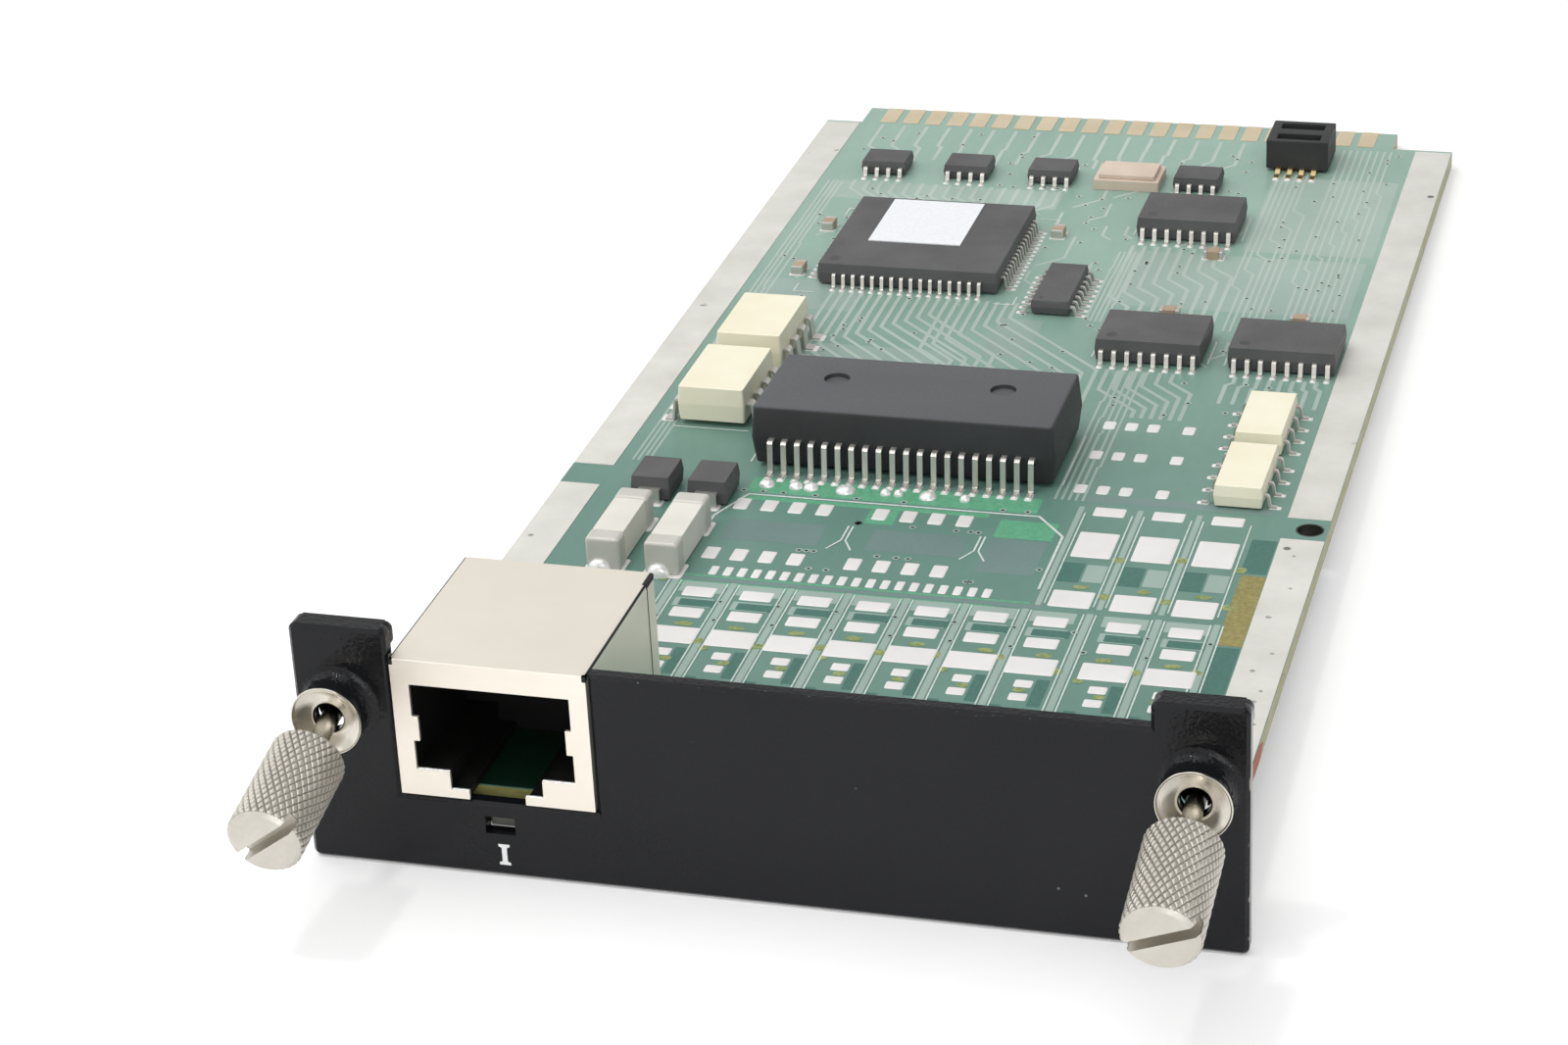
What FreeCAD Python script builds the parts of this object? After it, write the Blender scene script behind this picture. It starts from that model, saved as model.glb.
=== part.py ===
import FreeCAD, Part
import math
import os

# Span module card for a network chassis, in millimetres: a circuit board behind a painted front
# panel with one shielded jack, a status light, two captive thumbscrews and a rear contact tongue.
# X runs across the panel, Y from the panel to the rear, Z up. The origin is the middle of the
# panel's bottom edge face.

Vec = FreeCAD.Vector
X_AXIS = Vec(1, 0, 0)
Y_AXIS = Vec(0, 1, 0)
Z_AXIS = Vec(0, 0, 1)
LEFT = Vec(-1, 0, 0)
RIGHT = Vec(1, 0, 0)
FRONT = Vec(0, -1, 0)
REAR = Vec(0, 1, 0)

# Front panel, one steel sheet with two ears whose top edges are folded back
panel_width = 74.5
panel_height = 18.6
panel_thickness = 1.2
ear_rise = 2.2
right_ear_width = 7.3
ear_fold = 2.0
panel_corner_radius = 0.6
panel_edge_chamfer = 0.3

# Circuit board
board_width = 69.6
board_length = 147.7
board_thickness = 1.6
board_top = 6.65
board_gap = 1.1
tongue_length = 5.4
tongue_left = 30.8
tongue_right = 28.4
tongue_bevel = 0.45
tongue_corner = 1.0

# Captive screws: the sizes grow outwards from the neck, with the room that lets them hang
screw_inset = 3.65
screw_height = 14.1
neck_diameter = 1.5
neck_room = 0.45
ring_grip = 0.15
ring_room = 0.6
ring_thickness = 0.5
ring_play = 0.06
ring_mouth_share = 0.8
thread_diameter = 3.0
thread_length = 3.6
head_diameter = 6.0
head_length = 9.7
head_chamfer = 0.4
slot_width = 0.9
slot_depth = 1.4
slot_angles = {"left": 38.0, "right": 23.0}
screw_droop = 11.0
neck_drop = 0.15
screw_travel = 3.0
head_clearance = 0.2

# Drawn bosses of the panel and the flared ferrules in them
boss_length = 2.0
boss_wall = 0.35
boss_root = 0.4
boss_flare = 1.2
flange_overhang = 0.45
flange_depth = 0.9
flange_rim = 0.25
dish_floor = 0.3
spigot_length = 0.8
spigot_fit = 0.05

# Mounting blocks on the panel's back, each with a square peg that is soldered into the board
block_from_jack = 5.75
block_from_right = 10.25
block_width = 7.0
block_length = 6.0
block_floor = 0.9
peg_side = 2.5
peg_fit = 0.1
peg_proud = 0.8

# Shielded jack, its face flush with the panel's
jack_from_left = 16.05
jack_width = 15.9
jack_height = 11.9
jack_depth = 17.45
jack_gap = 0.15
shield_sheet = 0.3
shield_seam = 0.25
shield_relief = 0.55
window_width = 12.95
window_sill = 2.3
window_top = 9.75
latch_width = 7.54
latch_sill = 0.75
latch_slot_width = 4.58
ground_tab_width = 2.15
ground_tab_reach = 0.5
ground_tab_height = 5.9
shield_leg_width = 1.6
shield_leg_length = 2.8
shield_leg_depth = 10.5
leg_hole_fit = 0.15
housing_fit = 0.1
cavity_lip = 0.15
cavity_depth = 11.5
cavity_wall = 0.6
chamber_width = 9.0
chamber_length = 4.4
contact_count = 8
contact_pitch = 1.016
contact_width = 0.4
contact_thickness = 0.25
contact_row_gap = 2.2
contact_tip_drop = 2.9
contact_tip_depth = 8.6
contact_bend_depth = 2.2
contact_tail_length = 2.9
contact_hole = 0.7

# Status light under the board, behind a window in the panel
window_light_width = 2.45
window_light_height = 1.5
light_width = 3.0
light_height = 1.3
light_length = 2.0
light_gap = 0.6
light_rise = 0.15
lens_width = 2.1
lens_height = 0.95
lens_recess = 0.9

# Tinned strips, gold fingers and solder lands, thin skins of metal on the board
land_thickness = 0.06
strip_width = 3.8
strip_edge = 0.05
strip_front = 0.6
strip_gap_start = 53.1
strip_gap_end = 57.2
strip_rear_margin = 0.5
tooling_hole = 2.2
tooling_hole_in = 1.6
finger_pitch = 2.54
finger_width = 1.8
finger_length = 4.4
finger_margin = 0.5

# Places across the board are counted inwards from the guide strips. Solder lands of unfitted parts:
# columns of three, counted forward from the front row of the pair of eight-way footprints
column_pitch = 5.1
first_column_in = 15.0
outer_column_pitch = 5.25
outer_column_in = 4.95
outer_column_gap = 6.1
outer_column_count = 2
column_lands = ((7.3, 2.8, 1.7), (11.1, 2.8, 1.7), (15.1, 4.1, 2.8))
right_column_count = 3
right_lands = ((1.45, 2.8, 1.7), (7.95, 3.5, 4.8), (18.15, 3.6, 3.0))
dip_pitch = 2.54
dip_land_count = 4
dip_in = (17.7, 30.45)
dip_gap = 4.25
dip_row_spacing = 9.8
dip_land = (1.3, 2.2)

# Line fuses and surge suppressors, two of each behind the jack and in front of the transformer
line_in = (5.6, 10.9)
fuse_gap = 3.0
fuse_length = 10.2
fuse_side = 3.1
fuse_cap_length = 1.9
fuse_tube_inset = 0.12
suppressor_gap = 3.35
suppressor_width = 3.7
suppressor_length = 4.5
suppressor_height = 2.4
suppressor_tab_width = 2.0
suppressor_tab_reach = 0.55
suppressor_tab_thickness = 0.25

# Moulded packages: standoff under the body and the slope of its sides
standoff = 0.2
mould_slope = 0.12
lead_thickness = 0.2

# Solid state relays, two at the left and two slim ones at the right
relay_in = 6.55
relay_from_front = 71.9
relay_pitch = 12.7
relay_width = 6.5
relay_length = 10.2
relay_height = 3.9
relay_standoff = 0.5
relay_lead_width = 1.2
relay_lead_reach = 1.5
slim_in = 4.55
slim_from_front = 62.7
slim_pitch = 11.2
slim_width = 4.4
slim_length = 9.4
slim_height = 2.2
slim_lead_width = 0.45
relay_lead_pitch = 2.54
relay_lead_count = 4

# Line transformer with leads along its front and rear, beside the relays
transformer_gap = 1.35
transformer_from_front = 65.35
transformer_length = 28.2
transformer_width = 12.6
transformer_height = 6.0
transformer_standoff = 0.4
transformer_exit = 3.0
transformer_draft = 0.35
transformer_lead_pitch = 1.27
transformer_lead_count = 20
transformer_lead_width = 0.5
transformer_lead_reach = 2.1

# Framer chip with leads on four sides and a paper label
framer_in = 16.75
framer_gap = 10.6
framer_side = 18.6
framer_height = 2.4
framer_pitch = 1.0
framer_lead_count = 16
framer_lead_width = 0.35
framer_lead_reach = 1.1
label_width = 9.6
label_length = 11.4
label_thickness = 0.1
label_offset_x = -0.8
label_offset_y = 2.9

# Small outline chips
chip_pitch = 1.27
chip_lead_width = 0.42
chip_lead_reach = 1.15
wide_chip_length = 10.3
wide_chip_width = 7.5
wide_chip_height = 2.35
wide_chip_lead_count = 8
interface_in = (18.05, 5.25)
interface_gap = 7.5
memory_in = 19.85
memory_gap = 3.8
narrow_chip_width = 3.9
narrow_chip_height = 1.6
buffer_gap = 2.0
buffer_lead_in = 8.5
buffer_length = 9.9
buffer_lead_count = 8
small_chip_length = 4.9
small_chip_lead_count = 4
small_chip_in = (6.65, 15.75, 24.95, 40.65)
rear_row_shift = 0.6

# Clock oscillator and rear header
oscillator_in = 33.25
oscillator_length = 7.0
oscillator_width = 5.0
oscillator_height = 1.1
oscillator_lid_inset = 0.5
oscillator_lid_thickness = 0.5
header_in = 11.65
header_from_rear = 5.3
header_width = 6.6
header_length = 6.2
header_height = 3.5
header_standoff = 0.3
header_channel_width = 4.6
header_channel_length = 1.6
header_channel_depth = 2.2
header_pitch = 1.27
header_lead_count = 4
header_lead_width = 0.5
header_lead_reach = 2.2

# Chip capacitors beside the larger parts
capacitor_length = 2.0
capacitor_width = 1.25
capacitor_height = 0.9
capacitor_cap = 0.4
capacitor_gap = 1.05
framer_capacitors = ((-1, -6.2), (-1, 5.8), (1, 7.3))
interface_capacitor_gap = 2.675
memory_capacitor_gap = 1.875
memory_capacitor_offset = 3.5

# Places worked out from the sizes above
face_y = -panel_thickness / 2
back_y = panel_thickness / 2
board_front = back_y + board_gap
board_rear = board_front + board_length
board_bottom = board_top - board_thickness
screw_x = panel_width / 2 - screw_inset
ferrule_hole = neck_diameter + 2 * neck_room
ring_diameter = ferrule_hole + 2 * ring_grip
boss_bore = max(ring_diameter, thread_diameter) + 2 * ring_room
boss_diameter = boss_bore + 2 * boss_wall
flange_diameter = boss_diameter + 2 * flange_overhang
boss_end = face_y - boss_length
lip_middle = boss_end + (spigot_length - dish_floor) / 2
droop = math.radians(screw_droop)
jack_x = jack_from_left - panel_width / 2
block_places = (jack_x + jack_width / 2 + block_from_jack, panel_width / 2 - block_from_right)
strip_inner = board_width / 2 - strip_edge - strip_width
line_places = [d - strip_inner for d in line_in]
relay_x = relay_in - strip_inner
slim_x = strip_inner - slim_in
transformer_left = relay_x + relay_width / 2 + relay_lead_reach + transformer_gap
transformer_x = transformer_left + transformer_length / 2
framer_x = framer_in - strip_inner
framer_toe = framer_side / 2 + framer_lead_reach
interface_places = [strip_inner - d for d in interface_in]
memory_x = strip_inner - memory_in
buffer_x = framer_x + framer_toe + buffer_gap + chip_lead_reach + narrow_chip_width / 2
small_chip_places = [d - strip_inner for d in small_chip_in]
oscillator_x = oscillator_in - strip_inner
header_x = strip_inner - header_in

# Rows worked out from front to rear, as distances from the board's front edge
transformer_front = transformer_from_front - transformer_width / 2
suppressor_half = suppressor_length / 2 + suppressor_tab_reach
suppressor_from_front = transformer_front - suppressor_gap - suppressor_half
fuse_from_front = suppressor_from_front - suppressor_half - fuse_gap - fuse_length / 2
toe_row = transformer_front - transformer_lead_reach
dip_rear_row = toe_row - dip_gap - dip_land[1] / 2
dip_rows = (dip_rear_row - dip_row_spacing, dip_rear_row)
wide_chip_toe = wide_chip_width / 2 + chip_lead_reach
slim_end = slim_from_front + slim_pitch + slim_length / 2
interface_from_front = slim_end + interface_gap + wide_chip_toe
framer_from_front = relay_from_front + relay_pitch + relay_length / 2 + framer_gap + framer_toe
buffer_from_front = framer_from_front - buffer_lead_in
rear_row = (framer_from_front + framer_toe + board_length) / 2 - rear_row_shift
narrow_chip_toe = narrow_chip_width / 2 + chip_lead_reach
memory_from_front = rear_row - narrow_chip_toe - memory_gap - wide_chip_toe
header_from_front = board_length - header_from_rear


def box(x0, x1, y0, y1, z0, z1):
    return Part.makeBox(x1 - x0, y1 - y0, z1 - z0, Vec(x0, y0, z0))


def block(cx, cy, size_x, size_y, z0, z1):
    return box(cx - size_x / 2, cx + size_x / 2, cy - size_y / 2, cy + size_y / 2, z0, z1)


def pillar(cx, cy, diameter, z0, z1):
    return Part.makeCylinder(diameter / 2, z1 - z0, Vec(cx, cy, z0))


def face_of(points):
    return Part.Face(Part.makePolygon(list(points) + [points[0]]))


def across(points, x0, x1):
    """Extrudes an outline of (y, z) points from x0 to x1."""
    return face_of([Vec(x0, y, z) for y, z in points]).extrude(Vec(x1 - x0, 0, 0))


def rearwards(points, y0, y1):
    """Extrudes an outline of (x, z) points from y0 to y1."""
    return face_of([Vec(x, y0, z) for x, z in points]).extrude(Vec(0, y1 - y0, 0))


def turned(edges):
    """Revolves a closed outline in the XY plane round the Y axis."""
    return Part.Face(Part.Wire(edges)).revolve(Vec(0, 0, 0), Y_AXIS, 360)


def line(a, b):
    return Part.LineSegment(Vec(*a, 0), Vec(*b, 0)).toShape()


def chain(points):
    return [line(a, b) for a, b in zip(points, points[1:])]


def closed(points):
    return chain(list(points) + [points[0]])


def rounded_wire(corners, y):
    """Closed outline in a plane of constant y; each corner is (x, z, radius), sharp at radius 0."""
    count = len(corners)
    spans = []
    for i, (x, z, radius) in enumerate(corners):
        here = Vec(x, y, z)
        before = Vec(corners[i - 1][0], y, corners[i - 1][1]) - here
        after = Vec(corners[(i + 1) % count][0], y, corners[(i + 1) % count][1]) - here
        before.normalize()
        after.normalize()
        half = before.getAngle(after) / 2
        reach = radius / math.tan(half)
        bisector = (before + after).normalize()
        crown = here + bisector * (radius / math.sin(half) - radius)
        spans.append((here + before * reach, crown, here + after * reach))
    edges = []
    for i, (start, crown, end) in enumerate(spans):
        if corners[i][2] > 0:
            edges.append(Part.Arc(start, crown, end).toShape())
        edges.append(Part.LineSegment(end, spans[(i + 1) % count][0]).toShape())
    return Part.Wire(edges)


def ribbon(path, thickness):
    """Outline of a bent strip along a path of points in a plane, with mitred bends."""
    half = thickness / 2
    sides = []
    for i, (px, py) in enumerate(path):
        normals = []
        for a, b in ((i - 1, i), (i, i + 1)):
            if a >= 0 and b < len(path):
                dx = path[b][0] - path[a][0]
                dy = path[b][1] - path[a][1]
                run = math.hypot(dx, dy)
                normals.append((-dy / run, dx / run))
        nx = sum(n[0] for n in normals) / len(normals)
        ny = sum(n[1] for n in normals) / len(normals)
        scale = half / (nx * nx + ny * ny)
        sides.append(((px + nx * scale, py + ny * scale), (px - nx * scale, py - ny * scale)))
    return [s[0] for s in sides] + [s[1] for s in reversed(sides)]


def group(solids):
    return Part.makeCompound(solids)


def from_front(distance):
    return board_front + distance


def screw_sides():
    return (("left", -screw_x), ("right", screw_x))


def panel_outline():
    half = panel_width / 2
    ear_top = panel_height + ear_rise
    notch_left = jack_x - jack_width / 2 - jack_gap
    notch_right = jack_x + jack_width / 2 + jack_gap
    notch_floor = board_top - jack_gap
    right_ear = half - right_ear_width
    outer = panel_corner_radius
    return (
        (-half, 0, outer), (half, 0, outer),
        (half, ear_top, outer), (right_ear, ear_top, outer), (right_ear, panel_height, 0),
        (notch_right, panel_height, 0), (notch_right, notch_floor, 0),
        (notch_left, notch_floor, 0), (notch_left, ear_top, outer), (-half, ear_top, outer),
    )


def boss_blank():
    """The drawn boss with a sloping root, round the Y axis."""
    bore = boss_bore / 2
    outer = boss_diameter / 2
    root = outer + boss_root
    return turned(closed([(root, face_y), (root, 0), (bore, 0), (bore, boss_end), (outer, boss_end),
                          (outer, face_y - boss_root)]))


def boss_cut():
    """The bore of a boss, flared where the sheet was drawn through."""
    bore = boss_bore / 2
    return turned(closed([(bore + boss_flare, back_y), (0, back_y), (0, boss_end), (bore, boss_end),
                          (bore, back_y - boss_flare)]))


def light_middle():
    return board_bottom - light_height / 2 + light_rise


def light_window():
    middle = light_middle()
    return box(jack_x - window_light_width / 2, jack_x + window_light_width / 2, face_y, back_y,
               middle - window_light_height / 2, middle + window_light_height / 2)


def ear_folds():
    """The folded top edges of the ears, behind the sheet."""
    half = panel_width / 2
    left_end = jack_x - jack_width / 2 - jack_gap
    top = panel_height + ear_rise
    corner = panel_corner_radius
    return [box(x0 + corner, x1 - corner, back_y, face_y + ear_fold, top - panel_thickness, top)
            for x0, x1 in ((-half, left_end), (half - right_ear_width, half))]


def make_front_panel():
    sheet = Part.Face(rounded_wire(panel_outline(), face_y)).extrude(Vec(0, panel_thickness, 0))
    rim = [e for e in sheet.Edges if all(abs(v.Point.y - face_y) < 1e-6 for v in e.Vertexes)]
    panel = sheet.makeChamfer(panel_edge_chamfer, rim)
    for fold in ear_folds():
        panel = panel.fuse(fold)
    for _, x in screw_sides():
        place = Vec(x, 0, screw_height)
        panel = panel.fuse(boss_blank().translated(place)).cut(boss_cut().translated(place))
    return panel.cut(light_window()).removeSplitter()


def make_ferrule(x):
    hole = ferrule_hole / 2
    spigot = boss_bore / 2 - spigot_fit
    seat = boss_diameter / 2
    rim = flange_diameter / 2
    front = boss_end - flange_depth
    floor = boss_end - dish_floor
    points = [(rim - flange_rim, front), (rim, front), (seat, boss_end), (spigot, boss_end),
              (spigot, boss_end + spigot_length), (hole, boss_end + spigot_length), (hole, floor)]
    return turned(closed(points)).translated(Vec(x, 0, screw_height))


def hang(shape, x):
    """Takes a shape made along the Y axis to a screw's drooping axis."""
    shape.rotate(Vec(0, 0, 0), X_AXIS, screw_droop)
    shape.translate(Vec(x, lip_middle, screw_height - neck_drop))
    return shape


def ring_front():
    """Distance of the retaining ring's front from the ferrule's lip middle, along the screw."""
    lip_half = (spigot_length + dish_floor) / 2
    return lip_half / math.cos(droop) + ring_diameter / 2 * math.tan(droop) + 2 * ring_play


def head_rear():
    """Distance of the head's rear face from the lip middle: travel, tilt and rim are cleared."""
    rim = lip_middle - (boss_end - flange_depth)
    return screw_travel + rim / math.cos(droop) + head_diameter / 2 * math.tan(droop) + head_clearance


def make_ring(x):
    start = ring_front()
    bore = neck_diameter / 2 + ring_play
    ring = Part.makeCylinder(ring_diameter / 2, ring_thickness, Vec(0, start, 0), Y_AXIS)
    ring = ring.cut(Part.makeCylinder(bore, ring_thickness, Vec(0, start, 0), Y_AXIS))
    mouth = bore * ring_mouth_share
    ring = ring.cut(box(-mouth, mouth, start, start + ring_thickness, -ring_diameter, 0))
    return hang(ring, x)


def make_thumbscrew(side, x):
    head = head_diameter / 2
    neck = neck_diameter / 2
    thread = thread_diameter / 2
    rear = -head_rear()
    front = rear - head_length
    thread_start = ring_front() + ring_thickness + ring_play
    thread_end = thread_start + thread_length
    points = [
        (0, front), (head - head_chamfer, front), (head, front + head_chamfer),
        (head, rear), (neck, rear), (neck, thread_start), (thread, thread_start), (thread, thread_end),
        (0, thread_end),
    ]
    screw = turned(closed(points))
    slot = box(-head_diameter, head_diameter, front, front + slot_depth, -slot_width / 2, slot_width / 2)
    slot.rotate(Vec(0, 0, 0), Y_AXIS, -slot_angles[side])
    return hang(screw.cut(slot), x)


def peg_y():
    return back_y + block_length / 2


def make_mounting_blocks():
    solids = []
    for x in block_places:
        body = block(x, peg_y(), block_width, block_length, block_floor, board_bottom)
        peg = block(x, peg_y(), peg_side, peg_side, board_bottom, board_top + peg_proud)
        solids.append(body.fuse(peg))
    return group(solids)


def jack_at(depth):
    return face_y + depth


def contact_places():
    """Each contact's x and the depth of its tail; odd and even tails stand in two rows."""
    first = jack_x - contact_pitch * (contact_count - 1) / 2
    near = cavity_depth + cavity_wall + chamber_length / 2 - contact_row_gap / 2
    return [(first + i * contact_pitch, near + (i % 2) * contact_row_gap) for i in range(contact_count)]


def slots():
    """Places and sides of the openings for the jack's tails, the shield's legs and the blocks' pegs."""
    openings = [(x, jack_at(depth), contact_hole, contact_hole) for x, depth in contact_places()]
    peg_opening = peg_side + 2 * peg_fit
    openings += [(x, peg_y(), peg_opening, peg_opening) for x in block_places]
    for side in (-1, 1):
        leg_x = jack_x + side * (jack_width - shield_sheet) / 2
        openings.append((leg_x, jack_at(shield_leg_depth), shield_sheet + 2 * leg_hole_fit,
                         shield_leg_width + 2 * leg_hole_fit))
    return openings


def make_circuit_board():
    half = board_width / 2
    tip = board_rear + tongue_length
    outline = [
        (-half, board_front), (half, board_front), (half, board_rear), (tongue_right, board_rear),
        (tongue_right, tip - tongue_corner), (tongue_right - tongue_corner, tip),
        (-tongue_left + tongue_corner, tip), (-tongue_left, tip - tongue_corner),
        (-tongue_left, board_rear), (-half, board_rear),
    ]
    board = face_of([Vec(x, y, board_bottom) for x, y in outline]).extrude(Vec(0, 0, board_thickness))
    for z, inward in ((board_top, -1), (board_bottom, 1)):
        wedge = [(tip - 2 * tongue_bevel, z), (tip, z), (tip, z + inward * tongue_bevel)]
        board = board.cut(across(wedge, -half, half))
    tooling_y = from_front((strip_gap_start + strip_gap_end) / 2)
    board = board.cut(pillar(half - tooling_hole_in, tooling_y, tooling_hole, board_bottom, board_top))
    for x, y, size_x, size_y in slots():
        board = board.cut(block(x, y, size_x, size_y, board_bottom, board_top))
    return board


def board_faces():
    """Lower and upper z of a land on the top face and on the bottom face."""
    return ((board_top, board_top + land_thickness), (board_bottom - land_thickness, board_bottom))


def make_guide_strips():
    solids = []
    spans = ((strip_front, strip_gap_start), (strip_gap_end, board_length - strip_rear_margin))
    outer = board_width / 2 - strip_edge
    for z0, z1 in board_faces():
        for start, end in spans:
            for x0, x1 in ((-outer, -outer + strip_width), (outer - strip_width, outer)):
                solids.append(box(x0, x1, from_front(start), from_front(end), z0, z1))
    return group(solids)


def make_edge_fingers():
    tip = board_rear + tongue_length - 2 * tongue_bevel
    room = tongue_left + tongue_right - 2 * tongue_corner - finger_width - 2 * finger_margin
    count = int(room / finger_pitch) + 1
    middle = (tongue_right - tongue_left) / 2
    solids = []
    for z0, z1 in board_faces():
        for i in range(count):
            x = middle + (i - (count - 1) / 2) * finger_pitch
            solids.append(block(x, tip - finger_length / 2, finger_width, finger_length, z0, z1))
    return group(solids)


def land(x, distance, size_x, size_y):
    return block(x, from_front(distance), size_x, size_y, board_top, board_top + land_thickness)


def make_bare_lands():
    outer = [strip_inner - outer_column_in - i * outer_column_pitch for i in range(right_column_count)]
    columns = outer[:outer_column_count]
    first = first_column_in - strip_inner
    span = columns[-1] - outer_column_gap - first
    columns += [first + i * column_pitch for i in range(round(span / column_pitch) + 1)]
    solids = [land(x, dip_rows[0] - ahead, *size) for x in columns for ahead, *size in column_lands]
    solids += [land(x, toe_row - ahead, *size) for x in outer for ahead, *size in right_lands]
    for inwards in dip_in:
        for i in range(dip_land_count):
            x = inwards - strip_inner + (i - (dip_land_count - 1) / 2) * dip_pitch
            solids += [land(x, row, *dip_land) for row in dip_rows]
    return group(solids)


def window_points(grow):
    """Stepped opening of the jack, as (x, z) corners, grown by a lip."""
    main = window_width / 2 + grow
    latch = latch_width / 2 + grow
    slot = latch_slot_width / 2 + grow
    sill = board_top + window_sill - grow
    step = board_top + latch_sill - grow
    top = board_top + window_top + grow
    return [
        (jack_x - main, top), (jack_x + main, top), (jack_x + main, sill), (jack_x + latch, sill),
        (jack_x + latch, step), (jack_x + slot, step), (jack_x + slot, board_top),
        (jack_x - slot, board_top), (jack_x - slot, step), (jack_x - latch, step),
        (jack_x - latch, sill), (jack_x - main, sill),
    ]


def make_jack_shield():
    half = jack_width / 2
    top = board_top + jack_height
    rear = jack_at(jack_depth)
    sheet = shield_sheet
    shell = box(jack_x - half, jack_x + half, face_y, rear, board_top, top)
    hollow = box(jack_x - half + sheet, jack_x + half - sheet, face_y + sheet, rear - sheet,
                 board_top, top - sheet)
    shell = shell.cut(hollow).cut(rearwards(window_points(0), face_y, face_y + sheet))
    for side in (-1, 1):
        edge = jack_x + side * window_width / 2
        tab_low = board_top + ground_tab_height - ground_tab_width / 2
        tab = box(min(edge, edge - side * ground_tab_reach), max(edge, edge - side * ground_tab_reach),
                  face_y, face_y + sheet, tab_low, tab_low + ground_tab_width)
        leg_x = jack_x + side * (half - sheet / 2)
        leg = block(leg_x, jack_at(shield_leg_depth), sheet, shield_leg_width,
                    board_top - shield_leg_length, board_top)
        seam_x = jack_x + side * (half - sheet / 2)
        seam = block(seam_x, (face_y + rear) / 2, sheet, rear - face_y, top - shield_seam, top)
        relief = block(seam_x, face_y + shield_relief / 2, sheet, shield_relief, top - shield_relief, top)
        shell = shell.fuse(tab).fuse(leg).cut(seam).cut(relief)
    return shell.removeSplitter()


def make_jack_housing():
    half = jack_width / 2 - shield_sheet - housing_fit
    front = face_y + shield_sheet + housing_fit
    rear = jack_at(jack_depth) - shield_sheet - housing_fit
    floor = board_top
    top = board_top + jack_height - shield_sheet - housing_fit
    body = box(jack_x - half, jack_x + half, front, rear, floor, top)
    body = body.cut(rearwards(window_points(cavity_lip), front, jack_at(cavity_depth)))
    channel = chamber_width / 2
    chamber_rear = jack_at(cavity_depth + cavity_wall + chamber_length)
    ceiling = top - cavity_wall
    body = body.cut(box(jack_x - channel, jack_x + channel, jack_at(cavity_depth + cavity_wall),
                        chamber_rear, floor, ceiling))
    body = body.cut(box(jack_x - channel, jack_x + channel, jack_at(contact_bend_depth) - cavity_wall,
                        chamber_rear, board_top + window_top, ceiling))
    return body.removeSplitter()


def make_jack_contacts():
    roof = board_top + jack_height - shield_sheet - housing_fit - cavity_wall - contact_thickness / 2
    solids = []
    for x, tail in contact_places():
        path = [
            (jack_at(contact_tip_depth), roof - contact_tip_drop),
            (jack_at(contact_bend_depth), roof),
            (jack_at(tail), roof),
            (jack_at(tail), board_top - contact_tail_length),
        ]
        outline = ribbon(path, contact_thickness)
        solids.append(across(outline, x - contact_width / 2, x + contact_width / 2))
    return group(solids)


def make_status_light():
    front = back_y + light_gap
    return box(jack_x - light_width / 2, jack_x + light_width / 2, front, front + light_length,
               board_bottom - light_height, board_bottom)


def make_light_lens():
    half = lens_height / 2
    middle = light_middle()
    return box(jack_x - lens_width / 2, jack_x + lens_width / 2, face_y + lens_recess,
               back_y + light_gap, middle - half, middle + half)


def make_fuse_tubes():
    solids = []
    for x in line_places:
        side = fuse_side - 2 * fuse_tube_inset
        z0 = board_top + fuse_tube_inset
        solids.append(block(x, from_front(fuse_from_front), side, fuse_length - 2 * fuse_cap_length,
                            z0, z0 + side))
    return group(solids)


def make_fuse_caps():
    solids = []
    for x in line_places:
        for way in (-1, 1):
            y = from_front(fuse_from_front) + way * (fuse_length - fuse_cap_length) / 2
            solids.append(block(x, y, fuse_side, fuse_cap_length, board_top, board_top + fuse_side))
    return group(solids)


def moulded(cx, cy, size_x, size_y, z0, z1, part_z, slope):
    """A moulded body: largest at its parting line, sloping in to its top and bottom."""
    wires = []
    for z, inset in ((z0, slope), (part_z, 0), (z1, slope)):
        a = size_x / 2 - inset
        b = size_y / 2 - inset
        signs = ((-1, -1), (1, -1), (1, 1), (-1, 1), (-1, -1))
        wires.append(Part.makePolygon([Vec(cx + u * a, cy + v * b, z) for u, v in signs]))
    return Part.makeLoft(wires, True, True)


def package(cx, distance, size_x, size_y, height, lift=standoff, slope=mould_slope):
    z0 = board_top + lift
    z1 = board_top + height
    return moulded(cx, from_front(distance), size_x, size_y, z0, z1, (z0 + z1) / 2, slope)


def slant(exit_height, reach):
    """Outline of a lead that slopes from a body's side to the board: (outward, height)."""
    low = exit_height - lead_thickness / 2
    return [(0, low + lead_thickness), (reach, lead_thickness), (reach, 0), (0, low)]


def lead(outline, width, foot, outward):
    """One lead that leaves a body's side face at the point foot, in the outward direction."""
    sideways = Z_AXIS.cross(outward)
    points = [foot + outward * u + Z_AXIS * h - sideways * (width / 2) for u, h in outline]
    return face_of(points).extrude(sideways * width)


def lead_row(outline, width, middle, outward, count, pitch):
    sideways = Z_AXIS.cross(outward)
    return [lead(outline, width, middle + sideways * ((i - (count - 1) / 2) * pitch), outward)
            for i in range(count)]


def leads(cx, distance, half_x, half_y, sides, outline, width, count, pitch):
    """Rows of leads on the named sides of a body."""
    solids = []
    for outward in sides:
        reach = half_x if outward.x else half_y
        middle = Vec(cx, from_front(distance), board_top) + outward * reach
        solids += lead_row(outline, width, middle, outward, count, pitch)
    return solids


def body_middle(height, lift=standoff):
    return (height + lift) / 2


def make_suppressors():
    return group([package(x, suppressor_from_front, suppressor_width, suppressor_length, suppressor_height)
                  for x in line_places])


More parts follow.
